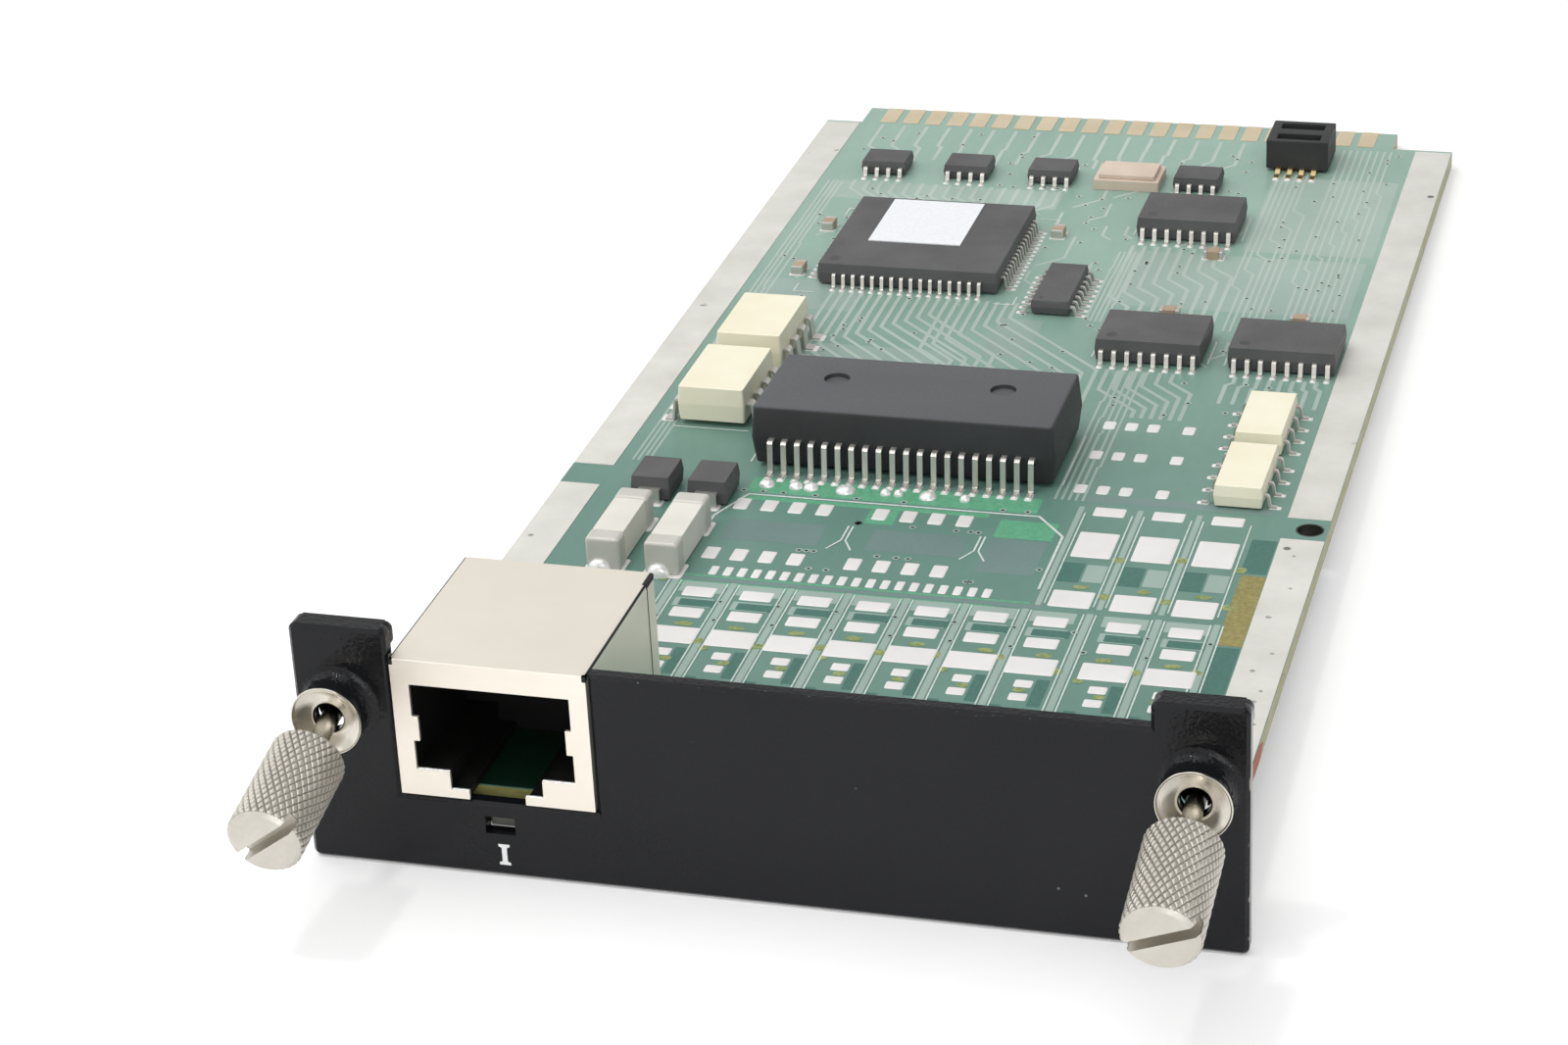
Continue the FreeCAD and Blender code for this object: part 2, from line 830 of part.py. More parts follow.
def make_suppressor_leads():
    solids = []
    middle = body_middle(suppressor_height)
    reach = suppressor_tab_reach
    sheet = suppressor_tab_thickness
    outline = [(0, middle + sheet / 2), (reach, middle + sheet / 2), (reach, 0), (reach - sheet, 0),
               (reach - sheet, middle - sheet / 2), (0, middle - sheet / 2)]
    for x in line_places:
        solids += leads(x, suppressor_from_front, suppressor_width / 2, suppressor_length / 2,
                        (FRONT, REAR), outline, suppressor_tab_width, 1, 0)
    return group(solids)


def relay_middles():
    return (relay_from_front, relay_from_front + relay_pitch)


def slim_middles():
    return (slim_from_front, slim_from_front + slim_pitch)


def make_relay_leads():
    outline = slant(body_middle(relay_height, relay_standoff), relay_lead_reach)
    solids = []
    for distance in relay_middles():
        solids += leads(relay_x, distance, relay_width / 2, relay_length / 2, (LEFT, RIGHT), outline,
                        relay_lead_width, relay_lead_count, relay_lead_pitch)
    return group(solids)


def make_slim_leads():
    outline = slant(body_middle(slim_height), chip_lead_reach)
    solids = []
    for distance in slim_middles():
        solids += leads(slim_x, distance, slim_width / 2, slim_length / 2, (LEFT, RIGHT), outline,
                        slim_lead_width, relay_lead_count, relay_lead_pitch)
    return group(solids)


def make_transformer_body():
    return moulded(transformer_x, from_front(transformer_from_front), transformer_length, transformer_width,
                   board_top + transformer_standoff, board_top + transformer_height,
                   board_top + transformer_exit, transformer_draft)


def make_transformer_leads():
    outline = slant(transformer_exit, transformer_lead_reach)
    return group(leads(transformer_x, transformer_from_front, transformer_length / 2, transformer_width / 2,
                       (FRONT, REAR), outline, transformer_lead_width, transformer_lead_count,
                       transformer_lead_pitch))


def make_framer_leads():
    outline = slant(body_middle(framer_height), framer_lead_reach)
    return group(leads(framer_x, framer_from_front, framer_side / 2, framer_side / 2,
                       (FRONT, REAR, LEFT, RIGHT), outline, framer_lead_width, framer_lead_count,
                       framer_pitch))


def make_framer_label():
    z0 = board_top + framer_height
    return block(framer_x + label_offset_x, from_front(framer_from_front) + label_offset_y,
                 label_width, label_length, z0, z0 + label_thickness)


def wide_chip(x, distance):
    return package(x, distance, wide_chip_length, wide_chip_width, wide_chip_height)


def wide_chip_rows(x, distance):
    outline = slant(body_middle(wide_chip_height), chip_lead_reach)
    return leads(x, distance, wide_chip_length / 2, wide_chip_width / 2, (FRONT, REAR), outline,
                 chip_lead_width, wide_chip_lead_count, chip_pitch)


def make_interface_leads():
    return group([s for x in interface_places for s in wide_chip_rows(x, interface_from_front)])


def narrow_outline():
    return slant(body_middle(narrow_chip_height), chip_lead_reach)


def make_buffer_leads():
    return group(leads(buffer_x, buffer_from_front, narrow_chip_width / 2, buffer_length / 2, (LEFT, RIGHT),
                       narrow_outline(), chip_lead_width, buffer_lead_count, chip_pitch))


def make_small_chips():
    return group([package(x, rear_row, small_chip_length, narrow_chip_width, narrow_chip_height)
                  for x in small_chip_places])


def make_small_chip_leads():
    solids = []
    for x in small_chip_places:
        solids += leads(x, rear_row, small_chip_length / 2, narrow_chip_width / 2, (FRONT, REAR),
                        narrow_outline(), chip_lead_width, small_chip_lead_count, chip_pitch)
    return group(solids)


def make_oscillator_base():
    return block(oscillator_x, from_front(rear_row), oscillator_length, oscillator_width,
                 board_top, board_top + oscillator_height)


def make_oscillator_lid():
    z0 = board_top + oscillator_height
    length = oscillator_length - 2 * oscillator_lid_inset
    width = oscillator_width - 2 * oscillator_lid_inset
    return block(oscillator_x, from_front(rear_row), length, width, z0,
                 z0 + oscillator_lid_thickness)


def make_header_body():
    y = from_front(header_from_front)
    top = board_top + header_height
    body = block(header_x, y, header_width, header_length, board_top + header_standoff, top)
    for way in (-1, 1):
        channel_y = y + way * header_length / 4
        body = body.cut(block(header_x, channel_y, header_channel_width, header_channel_length,
                              top - header_channel_depth, top))
    return body


def make_header_leads():
    outline = slant(header_standoff + lead_thickness, header_lead_reach)
    return group(leads(header_x, header_from_front, header_width / 2, header_length / 2, (FRONT, REAR),
                       outline, header_lead_width, header_lead_count, header_pitch))


def capacitor_block(x, distance, along_y, offset, length):
    size = (capacitor_width, length) if along_y else (length, capacitor_width)
    shift_x = 0 if along_y else offset
    shift_y = offset if along_y else 0
    return block(x + shift_x, from_front(distance) + shift_y, size[0], size[1], board_top,
                 board_top + capacitor_height)


def capacitor_places():
    """Each capacitor's x, its distance from the board's front edge, and whether it lies along Y."""
    beside = framer_toe + capacitor_gap + capacitor_width / 2
    behind_chip = wide_chip_toe + interface_capacitor_gap + capacitor_width / 2
    before_memory = wide_chip_toe + memory_capacitor_gap + capacitor_width / 2
    places = [(framer_x + side * beside, framer_from_front + d, True) for side, d in framer_capacitors]
    places += [(x, interface_from_front + behind_chip, False) for x in interface_places]
    places.append((memory_x + memory_capacitor_offset, memory_from_front - before_memory, False))
    return places


def make_capacitors():
    length = capacitor_length - 2 * capacitor_cap
    return group([capacitor_block(x, d, along, 0, length) for x, d, along in capacitor_places()])


def make_capacitor_caps():
    offset = (capacitor_length - capacitor_cap) / 2
    return group([capacitor_block(x, d, along, way * offset, capacitor_cap)
                  for x, d, along in capacitor_places() for way in (-1, 1)])


def make_parts():
    parts = {
        "front_panel": make_front_panel(),
        "mounting_blocks": make_mounting_blocks(),
        "circuit_board": make_circuit_board(),
        "guide_strips": make_guide_strips(),
        "edge_fingers": make_edge_fingers(),
        "bare_lands": make_bare_lands(),
        "jack_shield": make_jack_shield(),
        "jack_housing": make_jack_housing(),
        "jack_contacts": make_jack_contacts(),
        "status_light": make_status_light(),
        "status_light_lens": make_light_lens(),
        "line_fuse_tubes": make_fuse_tubes(),
        "line_fuse_caps": make_fuse_caps(),
        "surge_suppressors": make_suppressors(),
        "surge_suppressor_leads": make_suppressor_leads(),
        "relay_leads": make_relay_leads(),
        "slim_relay_leads": make_slim_leads(),
        "transformer_body": make_transformer_body(),
        "transformer_leads": make_transformer_leads(),
        "framer_chip": package(framer_x, framer_from_front, framer_side, framer_side, framer_height),
        "framer_chip_leads": make_framer_leads(),
        "framer_chip_label": make_framer_label(),
        "interface_chip_leads": make_interface_leads(),
        "memory_chip": wide_chip(memory_x, memory_from_front),
        "memory_chip_leads": group(wide_chip_rows(memory_x, memory_from_front)),
        "buffer_chip": package(buffer_x, buffer_from_front, narrow_chip_width, buffer_length,
                               narrow_chip_height),
        "buffer_chip_leads": make_buffer_leads(),
        "small_chips": make_small_chips(),
        "small_chip_leads": make_small_chip_leads(),
        "clock_oscillator": make_oscillator_base(),
        "clock_oscillator_lid": make_oscillator_lid(),
        "rear_header": make_header_body(),
        "rear_header_leads": make_header_leads(),
        "chip_capacitors": make_capacitors(),
        "chip_capacitor_caps": make_capacitor_caps(),
    }
    for side, x in screw_sides():
        parts[side + "_ferrule"] = make_ferrule(x)
        parts[side + "_retaining_ring"] = make_ring(x)
        parts[side + "_thumbscrew"] = make_thumbscrew(side, x)
    for name, distance in zip(("front", "rear"), relay_middles()):
        parts[name + "_relay"] = package(relay_x, distance, relay_width, relay_length, relay_height,
                                         relay_standoff)
    for name, distance in zip(("front", "rear"), slim_middles()):
        parts[name + "_slim_relay"] = package(slim_x, distance, slim_width, slim_length, slim_height)
    for name, x in zip(("left", "right"), interface_places):
        parts[name + "_interface_chip"] = wide_chip(x, interface_from_front)
    return parts


os.makedirs("parts", exist_ok=True)
for node, shape in make_parts().items():
    shape.exportStep("parts/" + node + ".step")
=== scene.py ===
import random
from math import atan2, cos, hypot, pi, radians, sin

import bmesh
import bpy
from mathutils import Matrix, Vector


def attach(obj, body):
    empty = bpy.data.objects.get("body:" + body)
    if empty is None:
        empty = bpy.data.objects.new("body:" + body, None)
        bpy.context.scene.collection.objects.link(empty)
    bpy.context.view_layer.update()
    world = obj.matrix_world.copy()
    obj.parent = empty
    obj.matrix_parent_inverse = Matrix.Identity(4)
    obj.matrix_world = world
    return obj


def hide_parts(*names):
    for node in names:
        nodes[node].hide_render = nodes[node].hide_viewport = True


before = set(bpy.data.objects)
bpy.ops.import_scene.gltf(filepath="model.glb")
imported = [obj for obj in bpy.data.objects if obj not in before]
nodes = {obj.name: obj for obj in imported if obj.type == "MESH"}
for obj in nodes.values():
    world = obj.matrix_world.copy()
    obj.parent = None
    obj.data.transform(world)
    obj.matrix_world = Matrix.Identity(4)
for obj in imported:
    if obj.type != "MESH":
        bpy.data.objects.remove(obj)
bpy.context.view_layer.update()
scene = bpy.context.scene

# Lengths are in millimetres, but for the stage and the shaders' bump heights, which are in metres.
# Y is counted from a plane 1 mm behind the panel's front face, which is DATUM behind the middle of
# the sheet.
MM = 0.001
DATUM = 0.4
FACE = -1.0
PANEL_END = 37.16
EAR_FOOT = 20.1
EAR_CORNER = 0.6

# Faces of the board
TOP = 6.65
BOTTOM = 5.05

# Heights of the thin layers on the board, spaced so that no two that overlap lie in one plane
PLANE = 0.008
PATCH = 0.009
OPEN_PATCH = 0.007
LAMINATE_PATCH = 0.012
COPPER = 0.02
COPPER_PATCH = 0.0215
BUNDLE, BUNDLE_STEP = 0.03, 0.0012
LOOSE_TRACE = 0.0115
FLUX_FLOOR, FLUX = 0.021, 0.026
PRINT_FLOOR, PRINT = 0.032, 0.012
VIA_HOLE, VIA_RING = 0.04, 0.048

# Captive screws: the bosses' axis, and lengths along the drooping axis from the point that it
# turns about
SCREWS = {"left": -33.6, "right": 33.6}
SLOT_TURN = {"left": 38.0, "right": 23.0}
BOSS_Z = 14.1
SCREW_Y, SCREW_Z = -2.75, 13.95
DROOP = radians(11.0)
HEAD_FRONT, HEAD_REAR = -14.655, -4.955
HEAD_RADIUS = 3.0
NECK = 0.75
THREAD_START, THREAD_END = 1.5027, 5.1027
THREAD_PITCH, THREAD_DEPTH, THREAD_ROWS = 0.5, 0.27, 53
KNURL_STARTS, KNURL_STEPS, KNURL_DEPTH = 30, 12, 0.12
KNURL_LENGTH = (HEAD_REAR - HEAD_FRONT) / 9.25

# Columns of unfitted lands behind the panel, the wide columns behind them, and the pours between
LAND_COLUMNS = [-15.95 + 5.1 * k for k in range(7)] + [20.75, 26.0]
WIDE_COLUMNS = (15.5, 20.75, 26.0)
COLUMN_EDGES = (-18.6, -13.4, -8.3, -3.2, 1.9, 7.0, 12.1, 17.6, 23.4, 28.3)


# Materials


class Nodes:
    """A node tree; an input takes a number or another node's output."""

    def __init__(self, tree):
        self.tree = tree

    def link(self, source, target):
        if hasattr(source, "is_linked"):
            self.tree.links.new(source, target)
        else:
            target.default_value = source

    def node(self, kind, inputs=None, **values):
        """Adds a node, and returns its outputs."""
        node = self.tree.nodes.new("ShaderNode" + kind)
        for key, value in values.items():
            setattr(node, key, value)
        for key, value in (inputs or {}).items():
            self.link(value, node.inputs[key])
        return node.outputs

    def math(self, operation, a, b=0.0):
        return self.node("Math", {0: a, 1: b}, operation=operation)[0]

    def both(self, a, b):
        return self.math("MULTIPLY", a, b)

    def squares(self, a, b):
        return self.math("ADD", self.math("POWER", a, 2.0), self.math("POWER", b, 2.0))

    def span(self, value, low, high, start=0.0, end=1.0):
        inputs = {"Value": value, "From Min": low, "From Max": high, "To Min": start, "To Max": end}
        return self.node("MapRange", inputs)["Result"]

    def axis(self, source, index):
        return self.node("SeparateXYZ", {0: source})[index]

    def seen(self):
        """1 for the rays that show the white surroundings: seen, mirrored or through glass."""
        path = self.node("LightPath")
        mirrored = self.math("MAXIMUM", path["Is Glossy Ray"], path["Is Transmission Ray"])
        return self.math("MAXIMUM", path["Is Camera Ray"], mirrored)


class Shader(Nodes):
    """A procedural material round a principled shader."""

    def __init__(self, name, metallic=0.0, specular=0.5):
        self.material = bpy.data.materials.new(name)
        self.material.use_nodes = True
        super().__init__(self.material.node_tree)
        self.bsdf = self.tree.nodes["Principled BSDF"]
        self.bsdf.inputs["Metallic"].default_value = metallic
        self.bsdf.inputs["Specular IOR Level"].default_value = specular
        self.coord = self.node("TexCoord")["Object"]

    def mapped(self, scale=(1, 1, 1), turn=(0, 0, 0)):
        inputs = {"Vector": self.coord, "Scale": scale, "Rotation": turn}
        return self.node("Mapping", inputs)["Vector"]

    def noise(self, scale, detail=3.0, stretch=None):
        place = self.mapped(stretch) if stretch else self.coord
        inputs = {"Vector": place, "Scale": scale, "Detail": detail, "Roughness": 0.55}
        return self.node("TexNoise", inputs)["Fac"]

    def ramp(self, value, stops):
        tone = self.node("ValToRGB", {"Fac": value})["Color"]
        elements = tone.node.color_ramp.elements
        while len(elements) < len(stops):
            elements.new(0.5)
        for element, (place, colour) in zip(elements, stops):
            element.position = place
            element.color = (*colour, 1.0) if isinstance(colour, tuple) else (colour, colour, colour, 1.0)
        return tone

    def dots(self, scale, core, rim):
        """1 in the middles of scattered cells."""
        cells = self.node("TexVoronoi", {"Vector": self.coord, "Scale": scale})["Distance"]
        return self.ramp(cells, ((0.0, 1.0), (core, 1.0), (rim, 0.0)))

    def patches(self, scale, low, high):
        """1 in some parts of the surface."""
        return self.ramp(self.noise(scale, 2.0), ((low, 0.0), (high, 1.0)))

    def blend(self, value, low, high):
        """A tone that drifts between two with a noise."""
        return self.ramp(value, ((0.3, low), (0.7, high)))

    def mix(self, share, a, b, **values):
        a, b = ((*tone, 1.0) if isinstance(tone, tuple) else tone for tone in (a, b))
        return self.node("Mix", {0: share, 6: a, 7: b}, data_type="RGBA", **values)[2]

    def facing(self, index):
        """The surface normal's share along an axis."""
        return self.axis(self.node("NewGeometry")["Normal"], index)

    def rearward(self):
        """0 at the front of the board, rising to 1 at its rear; it makes the board paler to the rear, a
        painted light.
        """
        return self.span(self.axis(self.coord, 1), 55 * MM, 120 * MM)

    def within(self, index, low, high):
        """1 where the place along an axis of the part's own frame is between two values."""
        place = self.axis(self.coord, index)
        above = self.math("GREATER_THAN", place, low * MM)
        return self.both(above, self.math("LESS_THAN", place, high * MM))

    def near(self, x, y, radius):
        """1 within a distance of an upright line."""
        away = [self.math("SUBTRACT", self.axis(self.coord, index), place * MM)
                for index, place in ((0, x), (1, y + DATUM))]
        return self.math("LESS_THAN", self.squares(*away), (radius * MM) ** 2)

    def dress(self, tone, grain, rough, strength, distance=0.00002, height=None):
        """Sets the colour, the roughness by a grain, and bumps by the same grain or another height."""
        self.link(tone, self.bsdf.inputs["Base Color"])
        self.link(self.span(grain, 0.3, 0.7, *rough), self.bsdf.inputs["Roughness"])
        height = grain if height is None else height
        inputs = {"Height": height, "Strength": strength, "Distance": distance}
        self.link(self.node("Bump", inputs)["Normal"], self.bsdf.inputs["Normal"])
        return self.material


def panel_paint(name, specular=0.25, peel_scale=3000.0, peel_height=0.00005):
    """Semi-gloss black paint with orange peel, a few dusty specks, and chips on the panel's right end."""
    mat = Shader(name, specular=specular)
    specks = mat.both(mat.dots(420.0, 0.04, 0.055), mat.patches(60.0, 0.56, 0.62))
    base = mat.blend(mat.noise(70.0, 4.0), (0.0065, 0.007, 0.0085), (0.0098, 0.0103, 0.0123))
    skin = mat.mix(specks, base, (0.15, 0.16, 0.17))
    rubbed = mat.patches(330.0, 0.6, 0.64)
    end = mat.math("GREATER_THAN", mat.axis(mat.coord, 0), PANEL_END * MM)
    tone = mat.mix(mat.both(rubbed, end), skin, (0.34, 0.3, 0.27))
    peel = mat.noise(peel_scale, 1.0)
    return mat.dress(tone, mat.noise(300.0), (0.1, 0.17), 0.7, peel_height, peel)


def metal(name, low, high, rough, grain=2600.0, bump=0.08, metallic=1.0, stretch=None):
    mat = Shader(name, metallic=metallic)
    tone = mat.blend(mat.noise(140.0, 4.0), low, high)
    return mat.dress(tone, mat.noise(grain, 3.0, stretch), rough, bump)


def laminate():
    """Green solder mask on the faces, painted paler to the rear as painted light, and raw glass laminate on
    the cut edges.
    """
    mat = Shader("board_laminate", specular=0.45)
    cloud = mat.noise(55.0, 4.0)
    front = mat.blend(cloud, (0.102, 0.216, 0.178), (0.136, 0.266, 0.22))
    rear = mat.blend(cloud, (0.25, 0.39, 0.325), (0.3, 0.447, 0.378))
    # Painted light: the mask is paler towards the rear of the board.
    mask = mat.mix(mat.rearward(), front, rear)
    fibres = mat.noise(1400.0, 3.0, (1.0, 1.0, 3.0))
    edge = mat.blend(fibres, (0.25, 0.24, 0.075), (0.35, 0.335, 0.125))
    flat = mat.math("GREATER_THAN", mat.math("ABSOLUTE", mat.facing(2)), 0.6)
    skin = mat.mix(flat, edge, mask)
    # Painted shade: the board under the jack is near black.
    jack = mat.both(mat.within(0, -29.0, -13.4), mat.within(1, 1.9, 16.6))
    skin = mat.mix(mat.both(jack, flat), skin, (0.003, 0.022, 0.011))
    # Painted shade: the tooling hole is dark.
    tooling_hole_shade = mat.near(33.2, 56.45, 1.25)
    tone = mat.mix(tooling_hole_shade, skin, (0.02, 0.022, 0.016))
    return mat.dress(tone, mat.noise(900.0, 2.0, (1.0, 0.35, 1.0)), (0.32, 0.45), 0.08)


def under_mask(name, front, rear):
    """Copper seen through the solder mask, paler than the laminate and, as painted light, paler towards the
    rear.
    """
    mat = Shader(name, specular=0.45)
    # Painted light: paler towards the rear of the board.
    tone = mat.mix(mat.rearward(), front, rear)
    cloud = mat.blend(mat.noise(80.0, 4.0), 0.86, 1.0)
    tone = mat.mix(1.0, tone, cloud, blend_type="MULTIPLY")
    return mat.dress(tone, mat.noise(2400.0), (0.34, 0.48), 0.1)


def strip_tin():
    """Tinned guide strip with tiny pits and dark specks."""
    mat = Shader("strip_tin", metallic=0.4)
    pits = mat.both(mat.dots(300.0, 0.09, 0.13), mat.patches(150.0, 0.5, 0.56))
    base = mat.blend(mat.noise(160.0, 4.0), (0.68, 0.67, 0.625), (0.8, 0.79, 0.745))
    tone = mat.mix(pits, base, (0.2, 0.2, 0.18))
    return mat.dress(tone, mat.noise(1700.0), (0.5, 0.66), 0.2, 0.00003)


def moulded(name, low, high, rough=(0.5, 0.66), specular=0.4, lit_top=None):
    """Moulded plastic with a fine grain; a lighter colour, if given, is painted where it faces up, a painted
    light.
    """
    mat = Shader(name, specular=specular)
    tone = mat.blend(mat.noise(160.0, 4.0), low, high)
    # Painted light: lighter where the surface faces up.
    if lit_top:
        tone = mat.mix(mat.span(mat.facing(2), 0.5, 0.95), tone, lit_top)
    return mat.dress(tone, mat.noise(5200.0), rough, 0.25)


def turned_nickel(name, turn, low, high, rough, shaded_hole=0.0, shade=False, groove_shade=False):
    """Satin nickel with fine turning rings round the piece's own axis, and painted shade, by the last
    three flags, in its hole, inside its boss or in the knurl's grooves."""
    mat = Shader(name, metallic=1.0)
    local = mat.mapped(turn=(turn, 0, 0))
    radius = mat.math("SQRT", mat.squares(mat.axis(local, 0), mat.axis(local, 2)))
    along = mat.axis(local, 1)
    tone = mat.blend(mat.noise(260.0, 4.0), low, high)
    # Painted shade: darker inside the given radius, in the hole.
    if shaded_hole:
        tone = mat.mix(mat.math("LESS_THAN", radius, shaded_hole * MM), tone, (0.1, 0.095, 0.072))
    # Painted shade: darker towards the bottoms of the knurl's grooves, behind the front end.
    if groove_shade:
        deep = mat.span(radius, 2.885 * MM, 2.96 * MM, 0.5, 0.0)
        skin = mat.math("GREATER_THAN", radius, 2.8 * MM)
        behind = mat.math("GREATER_THAN", along, (HEAD_FRONT + 0.3) * MM)
        tone = mat.mix(mat.both(deep, mat.both(skin, behind)), tone, (0.1, 0.093, 0.078))
    if shade:
        entry = mat.span(along, -0.6 * MM, 0.5 * MM)
        inside = mat.math("MINIMUM", entry, mat.span(along, 2.2 * MM, 3.0 * MM, 1.0, 0.0))
        tone = mat.mix(inside, tone, (0.04, 0.038, 0.032))
    rings = mat.math("SINE", mat.both(radius, 52000.0))
    grain = mat.noise(2600.0)
    return mat.dress(tone, grain, rough, 0.14, height=mat.math("ADD", mat.both(rings, 0.3), grain))


def ink(name, low, high, rough=(0.5, 0.7)):
    mat = Shader(name, specular=0.3)
    grain = mat.noise(2600.0)
    return mat.dress(mat.ramp(grain, ((0.35, low), (0.65, high))), grain, rough, 0.1, 0.00001)


# Finishes: low and high tone and range of roughness, then what differs from the usual
MATS = {
    "panel": panel_paint("panel_paint"),
    "boss": panel_paint("boss_paint", 0.25, 2600.0, 0.00011),
    # The ear caps' paint: a copy of the panel paint with less specular, so the ear tops look darker: painted
    # shade.
    "fold": panel_paint("shaded_fold_paint", 0.1),
    "zinc": metal("block_zinc", (0.5, 0.5, 0.5), (0.62, 0.62, 0.63), (0.45, 0.6)),
    "board": laminate(),
    "pour": under_mask("copper_under_mask", (0.325, 0.435, 0.392), (0.475, 0.57, 0.512)),
    "plane": under_mask("copper_plane", (0.162, 0.256, 0.24), (0.38, 0.5, 0.44)),
    "strip": strip_tin(),
    "tin": metal("tin", (0.8, 0.78, 0.77), (0.88, 0.865, 0.855), (0.42, 0.6), 1600.0, 0.25, 0.3),
    "lead": metal("lead_tin", (0.56, 0.54, 0.5), (0.68, 0.66, 0.62), (0.34, 0.5), 1600.0, 0.2, 0.85),
    # Solder made pale and less mirror-like: part of its brightness is a painted highlight.
    "solder": metal("solder_and_painted_glare", (0.86, 0.86, 0.85), (0.94, 0.94, 0.93), (0.22, 0.34), 1200.0, 0.1, 0.45),
    "cap": metal("fuse_cap_tin", (0.6, 0.585, 0.54), (0.71, 0.695, 0.65), (0.45, 0.6), 1600.0, 0.15, 0.4),
    "gold": metal("gold", (0.72, 0.53, 0.24), (0.85, 0.67, 0.36), (0.24, 0.38)),
    "finger": metal("finger_gold", (0.72, 0.6, 0.4), (0.84, 0.73, 0.53), (0.36, 0.5), metallic=0.7),
    "ferrule": turned_nickel("ferrule_nickel", 0.0, (0.62, 0.585, 0.51), (0.76, 0.72, 0.64), (0.13, 0.22),
                             shaded_hole=1.3),
    "screw": turned_nickel("screw_nickel", -DROOP, (0.56, 0.53, 0.47), (0.67, 0.64, 0.58), (0.4, 0.54),
                           groove_shade=True),
    "shank": turned_nickel("shank_nickel", -DROOP, (0.58, 0.55, 0.49), (0.68, 0.65, 0.59), (0.18, 0.28),
                           shade=True),
    # Retaining rings: dark steel like black phosphate, and dark too as painted shade inside the bosses.
    "ring": metal("black_steel_and_shade", (0.022, 0.021, 0.02), (0.034, 0.032, 0.03), (0.45, 0.6)),
    "shield": metal("shield_nickel", (0.885, 0.83, 0.735), (0.915, 0.865, 0.77), (0.44, 0.5), 2400.0, 0.04,
                    0.9, (0.04, 1.0, 1.0)),
    "black": moulded("black_moulding", (0.02, 0.021, 0.022), (0.034, 0.035, 0.036)),
    "chip": moulded("chip_epoxy", (0.078, 0.078, 0.08), (0.112, 0.112, 0.114)),
    "dimple": moulded("chip_dimple", (0.03, 0.03, 0.031), (0.045, 0.045, 0.046), (0.3, 0.45)),
    "housing": moulded("jack_moulding", (0.005, 0.006, 0.005), (0.009, 0.01, 0.009), (0.4, 0.55), 0.25),
    # The transformer's top is painted lighter than its sides: painted light.
    "transformer": moulded("transformer_moulding", (0.022, 0.0235, 0.025), (0.032, 0.034, 0.036),
                           lit_top=(0.092, 0.095, 0.103)),
    "cream": moulded("cream_moulding", (0.85, 0.8, 0.61), (0.91, 0.87, 0.7), (0.45, 0.6)),
    "ceramic": moulded("white_ceramic", (0.7, 0.68, 0.62), (0.8, 0.78, 0.72), (0.5, 0.65)),
    "beige": moulded("beige_ceramic", (0.62, 0.5, 0.41), (0.72, 0.61, 0.51), (0.5, 0.65)),
    "tan": moulded("tan_ceramic", (0.36, 0.27, 0.18), (0.46, 0.35, 0.25), (0.4, 0.55)),
    "label": ink("label_paper", (0.8, 0.82, 0.86), (0.87, 0.885, 0.915)),
    "light": moulded("light_plastic", (0.2, 0.2, 0.18), (0.28, 0.28, 0.25), (0.45, 0.6)),
    "lens": moulded("lens_plastic", (0.08, 0.083, 0.066), (0.13, 0.133, 0.112), (0.3, 0.45)),
    "silk": ink("silkscreen", (0.52, 0.6, 0.56), (0.66, 0.72, 0.69)),
    "numeral": ink("numeral_ink", (0.9, 0.91, 0.92), (0.96, 0.97, 0.97)),
    "mask": ink("bright_green_mask", (0.098, 0.335, 0.195), (0.135, 0.405, 0.25), (0.32, 0.45)),
    "dark": ink("dark_green_mask", (0.045, 0.142, 0.115), (0.064, 0.175, 0.142), (0.32, 0.45)),
    "flux": ink("flux_residue", (0.17, 0.24, 0.07), (0.33, 0.38, 0.16), (0.3, 0.5)),
    "olive": ink("bare_laminate", (0.235, 0.205, 0.065), (0.33, 0.295, 0.115)),
    "red": ink("edge_paint", (0.33, 0.085, 0.045), (0.44, 0.14, 0.08)),
    # Dark holes and gaps: painted shade.
    "hole": ink("painted_hole_shade", (0.01, 0.012, 0.01), (0.018, 0.02, 0.016)),
    "stain": ink("tin_stain", (0.3, 0.3, 0.29), (0.44, 0.44, 0.43)),
}

LARGE_CHIPS = ("framer_chip", "left_interface_chip", "right_interface_chip", "memory_chip")
SMALL_CHIPS = ("buffer_chip", "small_chips")
RELAYS = ("front_relay", "rear_relay")
SLIM_RELAYS = ("front_slim_relay", "rear_slim_relay")

# The solids that stay in sight: finish, width of the rounded edges of the moulded and stamped ones,
# and names
CAD_FINISH = (
    ("panel", 0.2, ("front_panel",)),
    ("zinc", 0.2, ("mounting_blocks",)),
    ("board", None, ("circuit_board",)),
    ("strip", None, ("guide_strips",)),
    ("finger", None, ("edge_fingers",)),
    ("shield", 0.1, ("jack_shield",)),
    ("housing", None, ("jack_housing",)),
    ("gold", None, ("jack_contacts",)),
    ("light", None, ("status_light",)),
    ("lens", 0.1, ("status_light_lens",)),
    ("ceramic", 0.15, ("line_fuse_tubes",)),
    ("cap", 0.35, ("line_fuse_caps",)),
    ("lead", None, ("surge_suppressor_leads",)),
    ("lead", 0.1, ("chip_capacitor_caps",)),
    ("chip", 0.1, LARGE_CHIPS),
    ("chip", 0.08, SMALL_CHIPS),
    ("chip", 0.12, ("surge_suppressors",)),
    ("label", None, ("framer_chip_label",)),
    ("beige", 0.12, ("clock_oscillator", "clock_oscillator_lid")),
    ("black", 0.15, ("rear_header",)),
    ("tan", 0.06, ("chip_capacitors",)),
    ("ring", None, ("left_retaining_ring", "right_retaining_ring")),
    ("cream", 0.2, RELAYS),
    ("cream", 0.15, SLIM_RELAYS),
)


